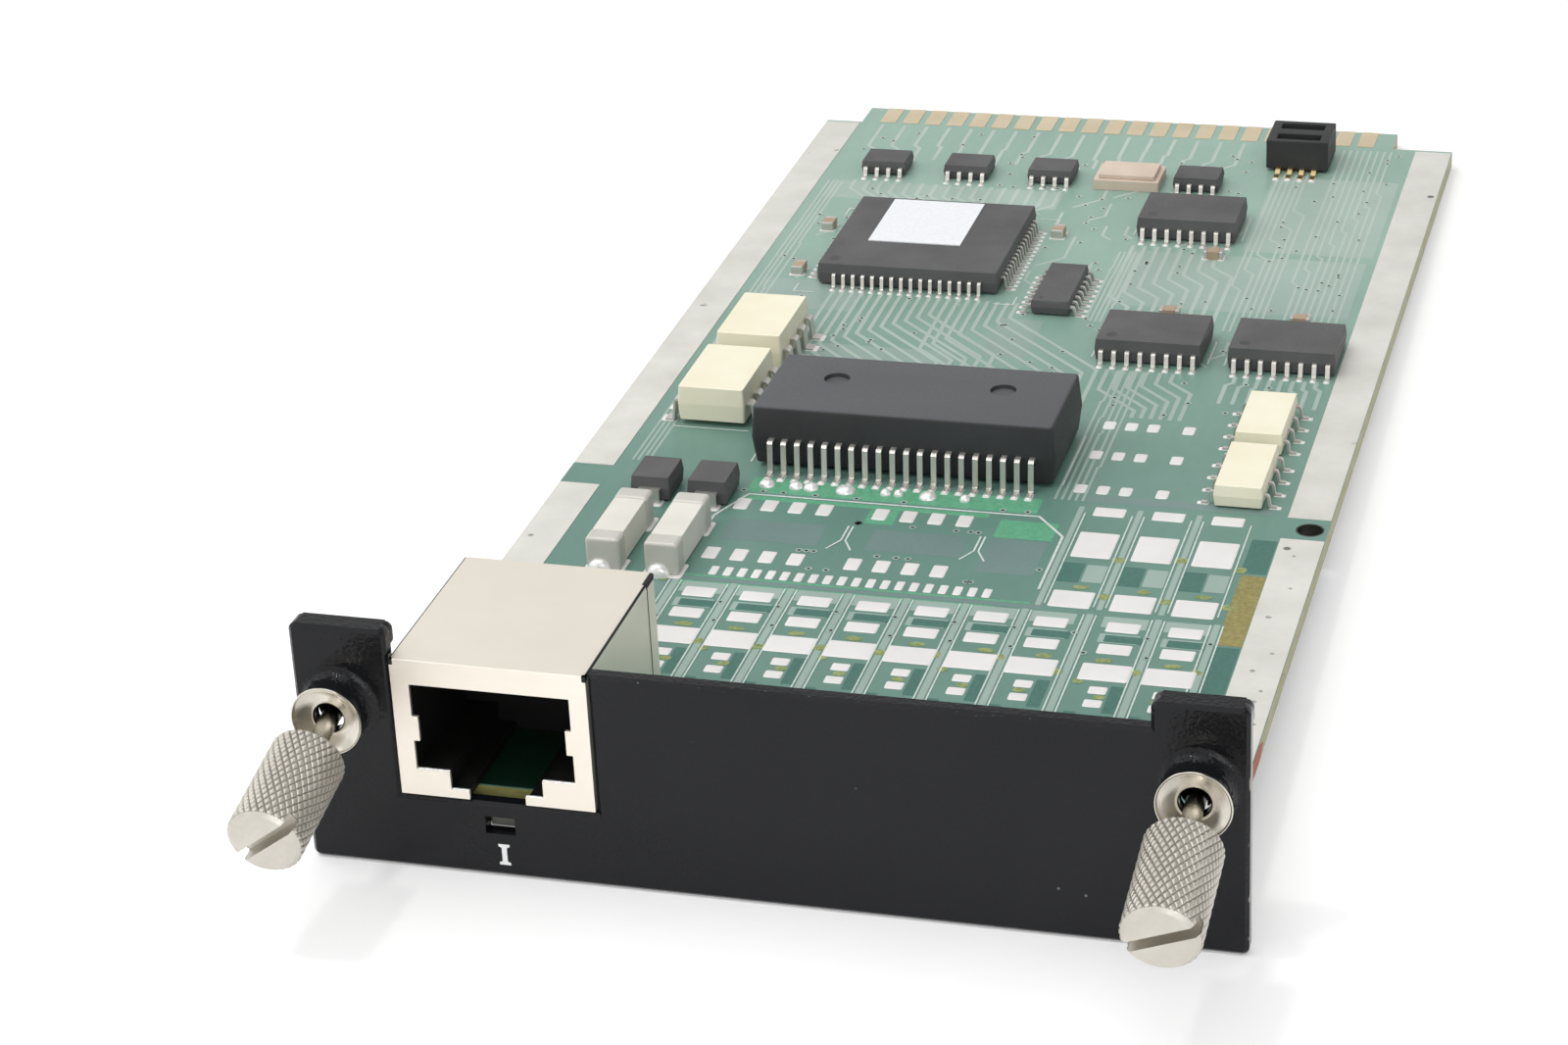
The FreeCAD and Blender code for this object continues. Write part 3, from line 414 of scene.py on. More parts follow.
def dress_cad():
    for finish, width, names in CAD_FINISH:
        for node in (nodes[name] for name in names):
            node.data.materials.clear()
            node.data.materials.append(MATS[finish])
            if width:
                weld = node.modifiers.new("weld", "WELD")
                weld.merge_threshold = 0.000002
                bevel = node.modifiers.new("edges", "BEVEL")
                bevel.width = width * MM
                bevel.segments = 3
                bevel.limit_method = "ANGLE"
                bevel.angle_limit = radians(35)
                bevel.use_clamp_overlap = True
                bevel.harden_normals = True


# Mesh building


def add(name, data):
    """A new object in the scene."""
    item = bpy.data.objects.new(name, data)
    scene.collection.objects.link(item)
    return item


class Build:
    """Collects the vertices and faces of one piece."""

    def __init__(self):
        self.verts = []
        self.faces = []

    def stack(self, loops, closed=True):
        """Skins a stack of loops with as many points each, and may close its ends."""
        start = len(self.verts)
        count = len(loops[0])
        last = start + count * (len(loops) - 1)
        self.verts += [point for loop in loops for point in loop]
        for base in range(start, last, count):
            for i in range(count):
                j = (i + 1) % count
                self.faces.append([base + i, base + j, base + count + j, base + count + i])
        if closed:
            self.faces.append(list(reversed(range(start, start + count))))
            self.faces.append(list(range(last, last + count)))

    def prism(self, outline, z0, z1):
        self.stack([level(outline, z0), level(outline, z1)])

    def slab(self, x0, x1, y0, y1, z0, z1, corner=0.1):
        outline = rounded((x0 + x1) / 2, (y0 + y1) / 2, x1 - x0, y1 - y0, corner, steps=2)
        self.prism(outline, z0, z1)

    def patch(self, x0, x1, y0, y1, height, corner=0.1):
        """A thin slab on the board."""
        self.slab(x0, x1, y0, y1, TOP, TOP + height, corner)

    def finish(self, name, finish, slot=None, smooth=None, origin=(0, 0, 0), body="card"):
        """Makes the piece; its vertices count from the origin, which is given in the same frame."""
        mesh = bpy.data.meshes.new(name)
        mesh.from_pydata([(x * MM, y * MM, z * MM) for x, y, z in self.verts], [], self.faces)
        mesh.materials.append(MATS[finish])
        if smooth is not None:
            mesh.polygons.foreach_set("use_smooth", [True] * len(mesh.polygons))
            mesh.set_sharp_from_angle(angle=radians(smooth))
        mesh.update()
        piece = add(name, mesh)
        place = Vector((origin[0], origin[1] + DATUM, origin[2])) * MM
        piece.matrix_world = Matrix.Translation(place)
        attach(piece, body)
        return piece


def level(outline, z):
    """A flat outline at a height."""
    return [(x, y, z) for x, y in outline]


def oval(cx, cy, rx, ry, count):
    """Outline of an ellipse, anticlockwise, or clockwise where one radius is negative."""
    turns = [2 * pi * i / count for i in range(count)]
    return [(cx + rx * cos(turn), cy + ry * sin(turn)) for turn in turns]


def rounded(cx, cy, sx, sy, radius, inset=0, steps=4):
    """Outline of a rectangle with round corners, anticlockwise."""
    a, b = sx / 2 - inset, sy / 2 - inset
    r = max(min(radius - inset, a, b), 0.01)
    points = []
    for u, v, turn in ((1, -1, -90), (1, 1, 0), (-1, 1, 90), (-1, -1, 180)):
        for k in range(steps + 1):
            angle = radians(turn + 90 * k / steps)
            points.append((cx + u * (a - r) + r * cos(angle), cy + v * (b - r) + r * sin(angle)))
    return points


def dome(build, cx, cy, sx, sy, height, radius=0.25, steps=4):
    """A solder land or blob: a rounded outline that swells to a low crown."""
    loops = []
    for inset, rise in ((0, 0), (0, 0.35), (0.06, 0.72), (0.18, 0.93), (0.32, 1)):
        inset = min(inset, 0.45 * min(sx, sy))
        loops.append(level(rounded(cx, cy, sx, sy, radius, inset, steps), TOP + height * rise))
    build.stack(loops)


def bead(build, cx, cy, sx, sy, height):
    """A round drop of solder."""
    rows = 5
    loops = []
    for k in range(rows + 1):
        angle = pi / 2 * k / rows * 0.98
        outline = oval(cx, cy, sx / 2 * cos(angle), sy / 2 * cos(angle), 16)
        loops.append(level(outline, TOP + height * sin(angle)))
    build.stack(loops)


def cone(build, cx, cy, radius, neck):
    """A fillet of solder round a tail under the board."""
    steps = ((radius, 0), (radius, 0.06), (radius * 0.62, 0.3), (neck + 0.1, 0.75), (neck, 1.1))
    build.stack([level(oval(cx, cy, r, -r, 20), BOTTOM - drop) for r, drop in steps])


def ring(build, cx, cy, outer, inner, z0, rise):
    steps = ((outer, z0), (outer, z0 + rise), (inner, z0 + rise), (inner, z0))
    build.stack([level(oval(cx, cy, r, r, 14), z) for r, z in steps], closed=False)


def disc(build, cx, cy, radius, z0, rise, count=12):
    build.prism(oval(cx, cy, radius, radius, count), z0, z0 + rise)


def ribbon(build, points, width, z0, rise):
    """A flat trace or printed line along a path, with mitred corners."""
    normals = []
    for (x0, y0), (x1, y1) in zip(points, points[1:]):
        run = hypot(x1 - x0, y1 - y0)
        normals.append(((y0 - y1) / run, (x1 - x0) / run))
    edges = []
    for (x, y), a, b in zip(points, normals[:1] + normals, normals + normals[-1:]):
        nx, ny = (a[0] + b[0]) / 2, (a[1] + b[1]) / 2
        scale = width / 2 / (nx * nx + ny * ny)
        edges.append(((x - nx * scale, y - ny * scale), (x + nx * scale, y + ny * scale)))
    for (right, left), (next_right, next_left) in zip(edges, edges[1:]):
        build.prism([right, next_right, next_left, left], z0, z0 + rise)


def lathe(build, profile, columns, radius_at=None, closed=True):
    """Turns a list of (radius, y) round the Y axis; radius_at may change a radius by angle."""
    loops = []
    for radius, y in profile:
        loop = []
        for i in range(columns):
            angle = -2 * pi * i / columns
            r = radius_at(radius, y, angle) if radius_at else radius
            loop.append((r * cos(angle), y, r * sin(angle)))
        loops.append(loop)
    build.stack(loops, closed)


def solids_of(name):
    """Lowest and highest corners of each separate solid of a CAD node."""
    mesh = nodes[name].data
    parent = list(range(len(mesh.vertices)))
    places = {}

    def root(i):
        while parent[i] != i:
            parent[i] = parent[parent[i]]
            i = parent[i]
        return i

    for v in mesh.vertices:
        key = tuple(round(c * 1e6) for c in v.co)
        parent[root(v.index)] = root(places.setdefault(key, v.index))
    for polygon in mesh.polygons:
        first = root(polygon.vertices[0])
        for i in polygon.vertices[1:]:
            parent[root(i)] = first
    groups = {}
    for v in mesh.vertices:
        groups.setdefault(root(v.index), []).append(v.co)
    boxes = []
    shift = Vector((0, DATUM, 0))
    for points in groups.values():
        boxes.append([Vector([end(axis) / MM for axis in zip(*points)]) - shift for end in (min, max)])
    return sorted(boxes, key=lambda b: (round(b[0].x, 3), round(b[0].y, 3)))


def dome_each(build, node, height, radius, steps=4, wider=0, longer=0):
    """A dome at each solid of a CAD node, as large as it or larger."""
    for lo, hi in solids_of(node):
        middle = (lo + hi) / 2
        dome(build, middle.x, middle.y, hi.x - lo.x + wider, hi.y - lo.y + longer, height, radius, steps)


def cut(piece, tool, name, sharp):
    """Takes a tool's mesh out of a piece, for good."""
    mesh = bpy.data.meshes.new(name)
    tool.to_mesh(mesh)
    tool.free()
    cutter = add(name, mesh)
    cutter.matrix_world = piece.matrix_world.copy()
    boolean = piece.modifiers.new("cut", "BOOLEAN")
    boolean.operation = "DIFFERENCE"
    boolean.solver = "EXACT"
    boolean.object = cutter
    bpy.context.view_layer.update()
    depsgraph = bpy.context.evaluated_depsgraph_get()
    result = bpy.data.meshes.new_from_object(piece.evaluated_get(depsgraph))
    piece.modifiers.clear()
    piece.data = result
    result.set_sharp_from_angle(angle=radians(sharp))
    bpy.data.objects.remove(cutter)


# Captive screws and the panel's drawn forms


def wave(value):
    """A zigzag from 0 at whole numbers to 1 half way between them."""
    return 1 - abs(2 * (value % 1) - 1)


def knurl_waves(y, angle):
    """The two crossing spirals' zigzags at a place on the head."""
    turn = KNURL_STARTS * angle / (2 * pi)
    along = (y - HEAD_FRONT) / KNURL_LENGTH
    return wave(turn + along), wave(turn - along)


def knurl(radius, y, angle):
    """Crossed spiral grooves that leave low diamonds between them."""
    height = min(knurl_waves(y, angle))
    crown = 0.72 * min(1, height / 0.42) + 0.28 * height
    return min(radius, HEAD_RADIUS - KNURL_DEPTH * (1 - crown))


def along_grooves(build, face):
    """Splits a four-sided face of the knurl along the nearer groove, so the grooves run clean."""
    if len(face) != 4:
        return [face]
    x, y, z = (sum(build.verts[i][k] for i in face) / 4 for k in range(3))
    a, b, c, d = face
    rising, falling = knurl_waves(y, atan2(z, x))
    if rising < falling:
        return [[a, b, c], [a, c, d]]
    return [[a, b, d], [b, c, d]]


def thread(radius, y, angle):
    """The spiral groove of the thread; the neck and the tail's ends keep their radius."""
    if radius <= 1.4:
        return radius
    return radius - THREAD_DEPTH * (1 - wave(y / THREAD_PITCH + angle / (2 * pi)))


def drooped(build):
    """Turns a piece from the Y axis to the hanging screw's axis."""
    turn = Matrix.Rotation(DROOP, 3, "X")
    build.verts = [tuple(turn @ Vector(v)) for v in build.verts]


def make_screw(side):
    """The knurled head with its driver slot, and the neck and thread behind it."""
    place = (SCREWS[side], SCREW_Y, SCREW_Z)
    body = side + "_screw"
    head = Build()
    rows = round((HEAD_REAR - HEAD_FRONT) / KNURL_LENGTH * KNURL_STEPS)
    profile = [(0.02, HEAD_FRONT), (1.3, HEAD_FRONT), (2.55, HEAD_FRONT)]
    for k in range(rows + 1):
        y = HEAD_FRONT + (HEAD_REAR - HEAD_FRONT) * k / rows
        profile.append((min(HEAD_RADIUS, 2.59 + (y - HEAD_FRONT), 2.84 + (HEAD_REAR - y)), y))
    profile += [(2.75, HEAD_REAR), (NECK + 0.1, HEAD_REAR), (NECK - 0.1, HEAD_REAR - 0.1)]
    lathe(head, profile, KNURL_STARTS * KNURL_STEPS, knurl)
    head.faces = [half for face in head.faces for half in along_grooves(head, face)]
    drooped(head)
    screw = head.finish(side + "_knurled_screw", "screw", "nickel", 24, place, body)
    cut(screw, slot_tool(side), "slot_tool", 24)
    shaft = Build()
    lathe(shaft, [(NECK - 0.2, HEAD_REAR - 0.3), (NECK + 0.14, HEAD_REAR), (NECK + 0.04, HEAD_REAR + 0.06),
                  (NECK, HEAD_REAR + 0.2), (NECK, THREAD_START - 0.05), (NECK + 0.06, THREAD_START)], 48)
    turns = [(1.2, THREAD_START), (1.23, THREAD_START + 0.01)]
    turns += [(1.5, THREAD_START + 0.05 + THREAD_PITCH / 8 * k) for k in range(THREAD_ROWS)]
    turns += [(1.3, THREAD_END - 0.15), (1.2, THREAD_END)]
    lathe(shaft, turns, 48, thread)
    drooped(shaft)
    shaft.finish(side + "_screw_shank", "shank", "nickel", 30, place, body)
    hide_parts(side + "_thumbscrew")


def slot_tool(side):
    """A bar where the driver slot crosses the head's end."""
    tool = bmesh.new()
    size = Matrix.Diagonal((8 * MM, 2.4 * MM, 0.9 * MM, 1))
    place = Matrix.Translation((0, (HEAD_FRONT + 0.2) * MM, 0))
    turn = Matrix.Rotation(DROOP, 4, "X") @ Matrix.Rotation(-radians(SLOT_TURN[side]), 4, "Y")
    bmesh.ops.create_cube(tool, size=1, matrix=turn @ place @ size)
    return tool


def make_ferrule(side):
    """The flared bush: a bell-shaped cup with a rolled rim, pressed into the end of its boss."""
    profile = [(1.2, -2.2), (1.2, -3.05), (1.23, -3.18), (1.32, -3.27), (1.55, -3.34), (1.85, -3.42),
               (2.15, -3.54), (2.42, -3.68), (2.6, -3.8), (2.72, -3.87), (2.8, -3.9), (2.86, -3.88),
               (2.9, -3.8), (2.88, -3.7), (2.78, -3.45), (2.62, -3.2), (2.48, -3.04), (2.42, -3),
               (2.05, -3), (2.05, -2.2), (1.2, -2.2)]
    build = Build()
    lathe(build, profile, 72, closed=False)
    ferrule = build.finish(side + "_bell_ferrule", "ferrule", "nickel", 40, (SCREWS[side], 0, BOSS_Z))
    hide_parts(side + "_ferrule")


def make_boss_roots():
    """The smooth curve from the panel's face into each drawn boss."""
    for side, x in SCREWS.items():
        profile = [(2.3, -1.02), (2.3, -2.5), (2.44, -2.5)]
        for k in range(13):
            angle = pi / 2 * k / 12
            profile.append((3.36 - 0.91 * cos(angle), -2.4 + 1.38 * sin(angle)))
        profile.append((2.3, -1.02))
        build = Build()
        lathe(build, profile, 72, closed=False)
        build.finish(side + "_boss_root", "boss", "panel_paint", 35, (x, 0, BOSS_Z))


def make_ear_ends():
    """The rounded ends of the ears' folded tops."""
    points = [v.co / MM for v in nodes["front_panel"].data.vertices if v.co.z > EAR_FOOT * MM]
    top = max(p.z for p in points)
    for side, way in (("left", -1), ("right", 1)):
        xs = [p.x for p in points if p.x * way > 0]
        x0, x1 = min(xs), max(xs)
        build = Build()
        loops = []
        for y, inset in ((-0.1, 0.004), (0.8, 0.004), (0.9, 0.03), (0.97, 0.09), (1, 0.2)):
            outline = rounded((x0 + x1) / 2, top - 1, x1 - x0, 2, EAR_CORNER, inset, 6)
            loops.append([(x, y, z) for x, z in reversed(outline)])
        build.stack(loops)
        # The caps take the duller copy of the panel paint, a painted shade on the ear tops.
        build.finish(side + "_ear_cap", "fold", "panel_paint", 30)


def make_numeral():
    """The port numeral, one painted stroke with serifs."""
    x, z0, z1 = -21.05, 1.05, 2.9
    wide, stem, bar, slope, paint = 0.46, 0.21, 0.2, 0.12, 0.02
    half = [(wide, z0), (wide, z0 + bar), (stem, z0 + bar + slope), (stem, z1 - bar - slope),
            (wide, z1 - bar), (wide, z1)]
    outline = [(x + u, z) for u, z in half] + [(x - u, z) for u, z in reversed(half)]
    count = len(outline)
    build = Build()
    build.verts = [(u, y, z) for y in (FACE - paint, FACE) for u, z in outline]
    build.faces = [[i, count + i, count + (i + 1) % count, (i + 1) % count] for i in range(count)]
    quads = [[k, k + 1, count - 2 - k, count - 1 - k] for k in range(count // 2 - 1)]
    build.faces += quads + [[count + i for i in reversed(quad)] for quad in quads]
    build.finish("port_numeral", "numeral")


# Jack shield, transformer and chips


def make_seams():
    """Dark strips in the open seams of the folded shield, painted shade in the gaps, and the top's edges
    inside them.
    """
    (lo, hi), = solids_of("jack_shield")
    build = Build()
    lips = Build()
    for x, way in ((lo.x, 1), (hi.x, -1)):
        seam = sorted((x, x + way * 0.3))
        build.slab(*seam, FACE + 0.02, hi.y - 0.02, hi.z - 0.24, hi.z - 0.06, 0.02)
        build.slab(*seam, FACE + 0.03, FACE + 0.53, hi.z - 0.53, hi.z - 0.06, 0.02)
        rear = hi.y - (2.2 if way < 0 else 0.1)
        lip = sorted((x + way * 0.13, x + way * 0.31))
        lips.slab(*lip, FACE + 0.3, rear, hi.z - 0.24, hi.z - 0.012, 0.02)
    # Painted shade: a dark slab in the gap at the top's rear right corner.
    build.slab(hi.x - 0.36, hi.x + 0.01, hi.y - 2.1, hi.y - 0.02, hi.z - 0.5, hi.z - 0.04, 0.05)
    lips.finish("shield_top_lips", "shield", "nickel")
    # Painted shade: a thin dark strip in the gap down the shield's right side.
    build.slab(hi.x - 0.01, hi.x + 0.012, hi.y - 1.95, hi.y - 1.75, TOP + 0.2, hi.z - 0.3, 0.005)
    build.finish("shield_seam_shade", "hole")


def make_window_lip_highlights():
    """The sheared edges of the shield along the ledges of the jack's window, made bright as a painted
    highlight.
    """
    (lo, hi), = solids_of("jack_shield")
    middle = (lo.x + hi.x) / 2
    build = Build()
    for inner, outer, height in ((3.77, 6.475, 2.3), (2.29, 3.77, 0.75)):
        sill = TOP + height
        section = ((FACE + 0.05, sill), (FACE + 0.29, sill), (FACE + 0.29, sill + 0.05),
                   (FACE + 0.12, sill + 0.06))
        for way in (-1, 1):
            x0, x1 = sorted((middle + way * inner, middle + way * outer))
            build.stack([[(x, y, z) for y, z in section] for x in (x0 + 0.04, x1 - 0.04)])
    build.finish("shield_window_lip_highlights", "solder", "nickel")


def make_transformer():
    """The transformer's moulding, with rounded edges and two ejector dimples in its top."""
    (lo, hi), = solids_of("transformer_body")
    cx, cy = (lo.x + hi.x) / 2, (lo.y + hi.y) / 2
    build = Build()
    loops = []
    for inset, z in ((0.5, lo.z), (0.36, lo.z + 0.12), (0, TOP + 2.9), (0, TOP + 3.1),
                     (0.27, hi.z - 0.3), (0.32, hi.z - 0.14), (0.42, hi.z - 0.04), (0.56, hi.z)):
        loops.append(level(rounded(cx, cy, hi.x - lo.x, hi.y - lo.y, 0.6, inset), z))
    build.stack(loops)
    piece = build.finish("transformer_moulding", "transformer", "transformer_moulding", 30)
    tool = bmesh.new()
    for x in (cx - 7.8, cx + 7.8):
        place = Matrix.Translation(Vector((x, cy + 1.2, hi.z)) * MM)
        bmesh.ops.create_cone(tool, cap_ends=True, segments=40, radius1=1.1 * MM, radius2=1.3 * MM,
                              depth=0.7 * MM, matrix=place)
    cut(piece, tool, "dimple_tool", 30)
    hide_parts("transformer_body")


def make_dimples():
    """The first-lead dots moulded into the chips' tops."""
    build = Build()
    for name in LARGE_CHIPS + SMALL_CHIPS:
        for lo, hi in solids_of(name):
            size = min(0.55, 0.07 * min(hi.x - lo.x, hi.y - lo.y))
            inset = 2.2 * size
            disc(build, lo.x + inset + 0.3, lo.y + inset + 0.3, size, hi.z - 0.03, 0.034, 20)
    build.finish("chip_dimples", "dimple", "black_moulding")


# Leads and solder


LEADS = (
    ("transformer", "transformer_leads", ("transformer_body",)),
    ("relay", "relay_leads", RELAYS),
    ("slim_relay", "slim_relay_leads", SLIM_RELAYS),
    ("framer", "framer_chip_leads", ("framer_chip",)),
    ("interface", "interface_chip_leads", ("left_interface_chip", "right_interface_chip")),
    ("memory", "memory_chip_leads", ("memory_chip",)),
    ("buffer", "buffer_chip_leads", ("buffer_chip",)),
    ("small_chip", "small_chip_leads", ("small_chips",)),
    ("rear_header", "rear_header_leads", ("rear_header",)),
)


def bend_path(reach, exit_height, thickness):
    """Centre line of a gull-wing lead, with rounded bends."""
    foot = thickness / 2
    knee = 0.22 * reach
    ankle = 0.52 * reach
    return [(0, exit_height), (knee, exit_height), (knee + 0.07 * reach, exit_height - 0.05),
            (knee + 0.13 * reach, exit_height - 0.16), (ankle - 0.06 * reach, foot + 0.16),
            (ankle, foot + 0.05), (ankle + 0.07 * reach, foot), (reach, foot)]


def bent_strip(build, start, outward, path, width, thickness):
    """Sweeps a strip along a path of (outward, height) from a point on the board."""
    (x, y), (ox, oy) = start, outward
    loops = []
    for (u, h), (u0, h0), (u1, h1) in zip(path, path[:1] + path, path[1:] + path[-1:]):
        run = hypot(u1 - u0, h1 - h0)
        nu, nh = (h0 - h1) / run * thickness / 2, (u1 - u0) / run * thickness / 2
        loop = []
        for way, rise in ((-1, -1), (1, -1), (1, 1), (-1, 1)):
            out, across = u + rise * nu, way * width / 2
            loop.append((x + ox * out - oy * across, y + oy * out + ox * across, TOP + (h + rise * nh)))
        loops.append(loop)
    build.stack(loops)


def make_leads(stem, node, bodies, pads):
    """Bent leads in place of a node's plain ones, each with its solder pad and toe on the board."""
    thickness = 0.16 if stem == "framer" else 0.2
    finish, slot = ("gold", "gold") if stem == "rear_header" else ("lead", "tin")
    boxes = [box for body in bodies for box in solids_of(body)]
    build = Build()
    for lo, hi in solids_of(node):
        middle = (lo + hi) / 2
        body = min(boxes, key=lambda b: ((b[0] + b[1]) / 2 - middle).length)
        gaps = {(1, 0): middle.x - body[1].x, (-1, 0): body[0].x - middle.x,
                (0, 1): middle.y - body[1].y, (0, -1): body[0].y - middle.y}
        outward = max(gaps, key=gaps.get)
        k = 0 if outward[0] else 1
        reach = hi[k] - lo[k]
        width = hi[1 - k] - lo[1 - k]
        start = [middle.x, middle.y]
        start[k] = lo[k] if outward[k] > 0 else hi[k]
        height = hi.z - TOP - thickness / 2
        bent_strip(build, start, outward, bend_path(reach, height, thickness), width, thickness)
        for distance, long, wide, crown, corner in (
            (reach * 0.86, reach * 0.5 + 0.5, width + 0.16, 0.055, 0.12),
            (reach + 0.08, 0.34, width * 0.92, 0.16, 0.16),
        ):
            size = [wide, wide]
            size[k] = long
            dome(pads, start[0] + outward[0] * distance, start[1] + outward[1] * distance, *size, crown,
                 corner, 2)
    piece = build.finish(stem + "_gull_leads", finish, slot, 30)
    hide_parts(node)


def make_all_leads():
    pads = Build()
    for stem, node, bodies in LEADS:
        make_leads(stem, node, bodies, pads)
    for node, wider, longer, crown, corner, steps in (
        ("chip_capacitor_caps", 0.35, 0.35, 0.06, 0.15, 2),
        ("line_fuse_caps", 0.5, 0.9, 0.09, 0.3, 3),
        ("surge_suppressor_leads", 0.5, 0.9, 0.09, 0.3, 3),
    ):
        dome_each(pads, node, crown, corner, steps, wider, longer)
    pads.finish("lead_solder", "tin", "tin", 40)


def make_lands():
    """Solder lands of the unfitted parts, and bright drops of solder."""
    build = Build()
    dome_each(build, "bare_lands", 0.08, 0.18)
    piece = build.finish("solder_lands", "tin", "tin", 40)
    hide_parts("bare_lands")
    small = Build()
    for x in LAND_COLUMNS:
        for y in (25, 22.8):
            dome(small, x, y, 1.5, 1.2, 0.07, 0.18)
    for i in range(20):
        dome(small, -3.8 + (i - 9.5) * 1.27, 39.9, 0.7, 1.6, 0.06, 0.15)
    for x in (12, 14.05, 16.1, 19.4):
        for y in (61.1, 68.2, 74.6):
            dome(small, x, y, 1.1, 1.7, 0.07)
    small.finish("small_solder_lands", "tin", "tin", 40)
    # The drops take the pale solder finish, part of whose brightness is a painted highlight.
    bright = Build()
    for x, size in ((-15.9, 1.5), (-13.2, 1.3), (-11.8, 1.4), (-8.6, 1.8), (-4.9, 1), (-3.7, 0.9),
                    (-1, 1.6), (2.4, 1)):
        bead(bright, x, 57, size, size, 0.55)
    for lo, hi in solids_of("line_fuse_caps"):
        if lo.y < 40:
            bead(bright, (lo.x + hi.x) / 2 - 0.3, lo.y - 0.1, 2.2, 1.3, 1.15)
    bright.finish("solder_beads", "solder", "tin", 60)


def make_joints_below():
    """Solder cones round the contact tails and shield legs under the board."""
    build = Build()
    for lo, hi in solids_of("jack_contacts"):
        cone(build, (lo.x + hi.x) / 2, hi.y - 0.125, 0.75, 0.24)
    for x in (-29, -13.4):
        cone(build, x, 9.5, 1.2, 0.5)
    build.finish("solder_joints", "tin", "tin", 40)


# Copper, print and marks on the board


# Corners (x0, x1, y0, y1) of the planes on the top, and middles and sizes of those below
PLANES = (
    (-17.2, -8.4, 45.9, 50), (-4.1, 4.4, 45.9, 50), (6.2, 11.4, 43.6, 50),
    (-19.6, 13.4, 37.9, 38.6), (-29.6, -19.4, 19, 36.6), (13, 29.6, 58.6, 60),
    (-29.4, -18.6, 96.6, 103.8), (-3.4, 1, 88, 97.4), (6, 30, 102.4, 116.6),
    (-29.4, -4, 126.2, 131.2), (17.2, 30.4, 118, 139), (-29.4, -6, 78, 88.6),
)
PLANES_BELOW = ((-6, 30, 44, 20), (22, 96, 14, 60), (-20, 120, 18, 40))

# Bundles of traces: first trace's start and end, number of traces, and their pitch at each end
BUNDLES = (
    (-16, 75.6, -21.5, 101.2, 12, 1.27, 1), (-0.5, 75.6, -9.5, 101.2, 8, 1.27, 1),
    (10.2, 58.6, 10.4, 86.8, 5, 0.62, 0.62), (21, 81, 21.6, 87.2, 8, 1.27, 1.1),
    (8.4, 97.6, 6, 117.8, 8, 1.27, 1.27), (18.6, 97.6, 17.6, 140, 6, 0.66, 0.6),
    (24, 97.6, 23.4, 148, 8, 0.72, 0.72), (-22, 123.2, -27, 131.5, 16, 1, 1.5),
    (-29.6, 60, -29.8, 131, 4, 0.5, 0.5), (4.9, 98, 5, 116, 5, 0.5, 0.5),
    (-27, 138.4, -28.2, 148.4, 10, 2.3, 2.54), (-2.4, 138.4, -2.8, 148.4, 7, 2.3, 2.54),
    (-28.5, 21, -28.8, 36, 8, 1.1, 1.2), (13.6, 76.6, 9.4, 87, 6, 0.9, 1.27),
    (-11.6, 3.4, -10.4, 18.9, 9, 4.9, 5), (-9.8, 3.4, -11.2, 18.9, 9, 4.9, 5),
)


def make_copper():
    """Pours, traces and planes under the solder mask, on both faces of the board."""
    build = Build()
    for x in COLUMN_EDGES:
        build.patch(x - 0.3, x + 0.3, 19, 37.8, COPPER)
    for x in LAND_COLUMNS:
        build.patch(x - 1.7, x + 1.7, 33.1, 34.6, COPPER)
        build.patch(x - 1.9, x + 1.9, 35.7, 37.6, COPPER)
    for x in WIDE_COLUMNS:
        build.patch(x + 0.1, x + 1.9, 43.4, 46.6, COPPER)
        build.patch(x - 2.85, x - 2.35, 38.6, 57.6, COPPER)
    spread_traces(build, 7, TOP, 1)
    build.finish("copper_tracks", "pour", "board_laminate")
    plane = Build()
    for corners in PLANES:
        plane.patch(*corners, PLANE, 0.2)
    plane.finish("copper_planes", "plane", "board_laminate")
    below = Build()
    spread_traces(below, 23, BOTTOM, -1)
    below.finish("copper_tracks_below", "pour", "board_laminate")
    under = Build()
    for x, y, sx, sy in PLANES_BELOW:
        under.prism(rounded(x, y, sx, sy, 1, steps=2), BOTTOM - PLANE, BOTTOM)
    under.finish("copper_planes_below", "plane", "board_laminate")


def cells_along(points):
    """The squares of a grid that a path runs over or beside."""
    size = 0.7
    cells = set()
    for (x0, y0), (x1, y1) in zip(points, points[1:]):
        steps = max(int(hypot(x1 - x0, y1 - y0) / 0.3), 1)
        for k in range(steps + 1):
            x, y = x0 + (x1 - x0) * k / steps, y0 + (y1 - y0) * k / steps
            for dx in (-size / 2, size / 2):
                cells.add((round((x + dx) / size), round(y / size)))
    return cells


def spread_traces(build, seed, z0, way):
    """Bundles of traces with 45 degree bends, and short loose ones where there is room."""
    pick = random.Random(seed)
    taken = set()
    for n, (x0, y0, x1, y1, count, pitch0, pitch1) in enumerate(BUNDLES):
        width = 0.26 if pitch0 < 0.9 else 0.42
        for i in range(count):
            a = x0 + i * pitch0
            b = x1 + i * pitch1
            lean = abs(b - a)
            spare = max(y1 - y0 - lean, 0.4)
            order = i / max(count - 1, 1)
            first = y0 + spare * (0.25 + 0.5 * (order if b < a else 1 - order))
            points = [(a, y0), (a, first), (b, min(first + lean, y1 - 0.1)), (b, y1)]
            if lean < 0.05:
                points = [(a, y0), (b, y1)]
            ribbon(build, points, width, z0, way * (BUNDLE - BUNDLE_STEP * n))
            taken |= cells_along(points)
    for _ in range(160):
        x = pick.uniform(-28, 28)
        y = pick.uniform(78, 138)
        run = pick.uniform(3, 9)
        end = x + pick.choice((-1, 1)) * run * 0.3
        points = [(x, y), (end, y + run * 0.3), (end, y + run)]
        cells = cells_along(points)
        if not cells & taken:
            ribbon(build, points, 0.3, z0, way * LOOSE_TRACE)
            taken |= cells


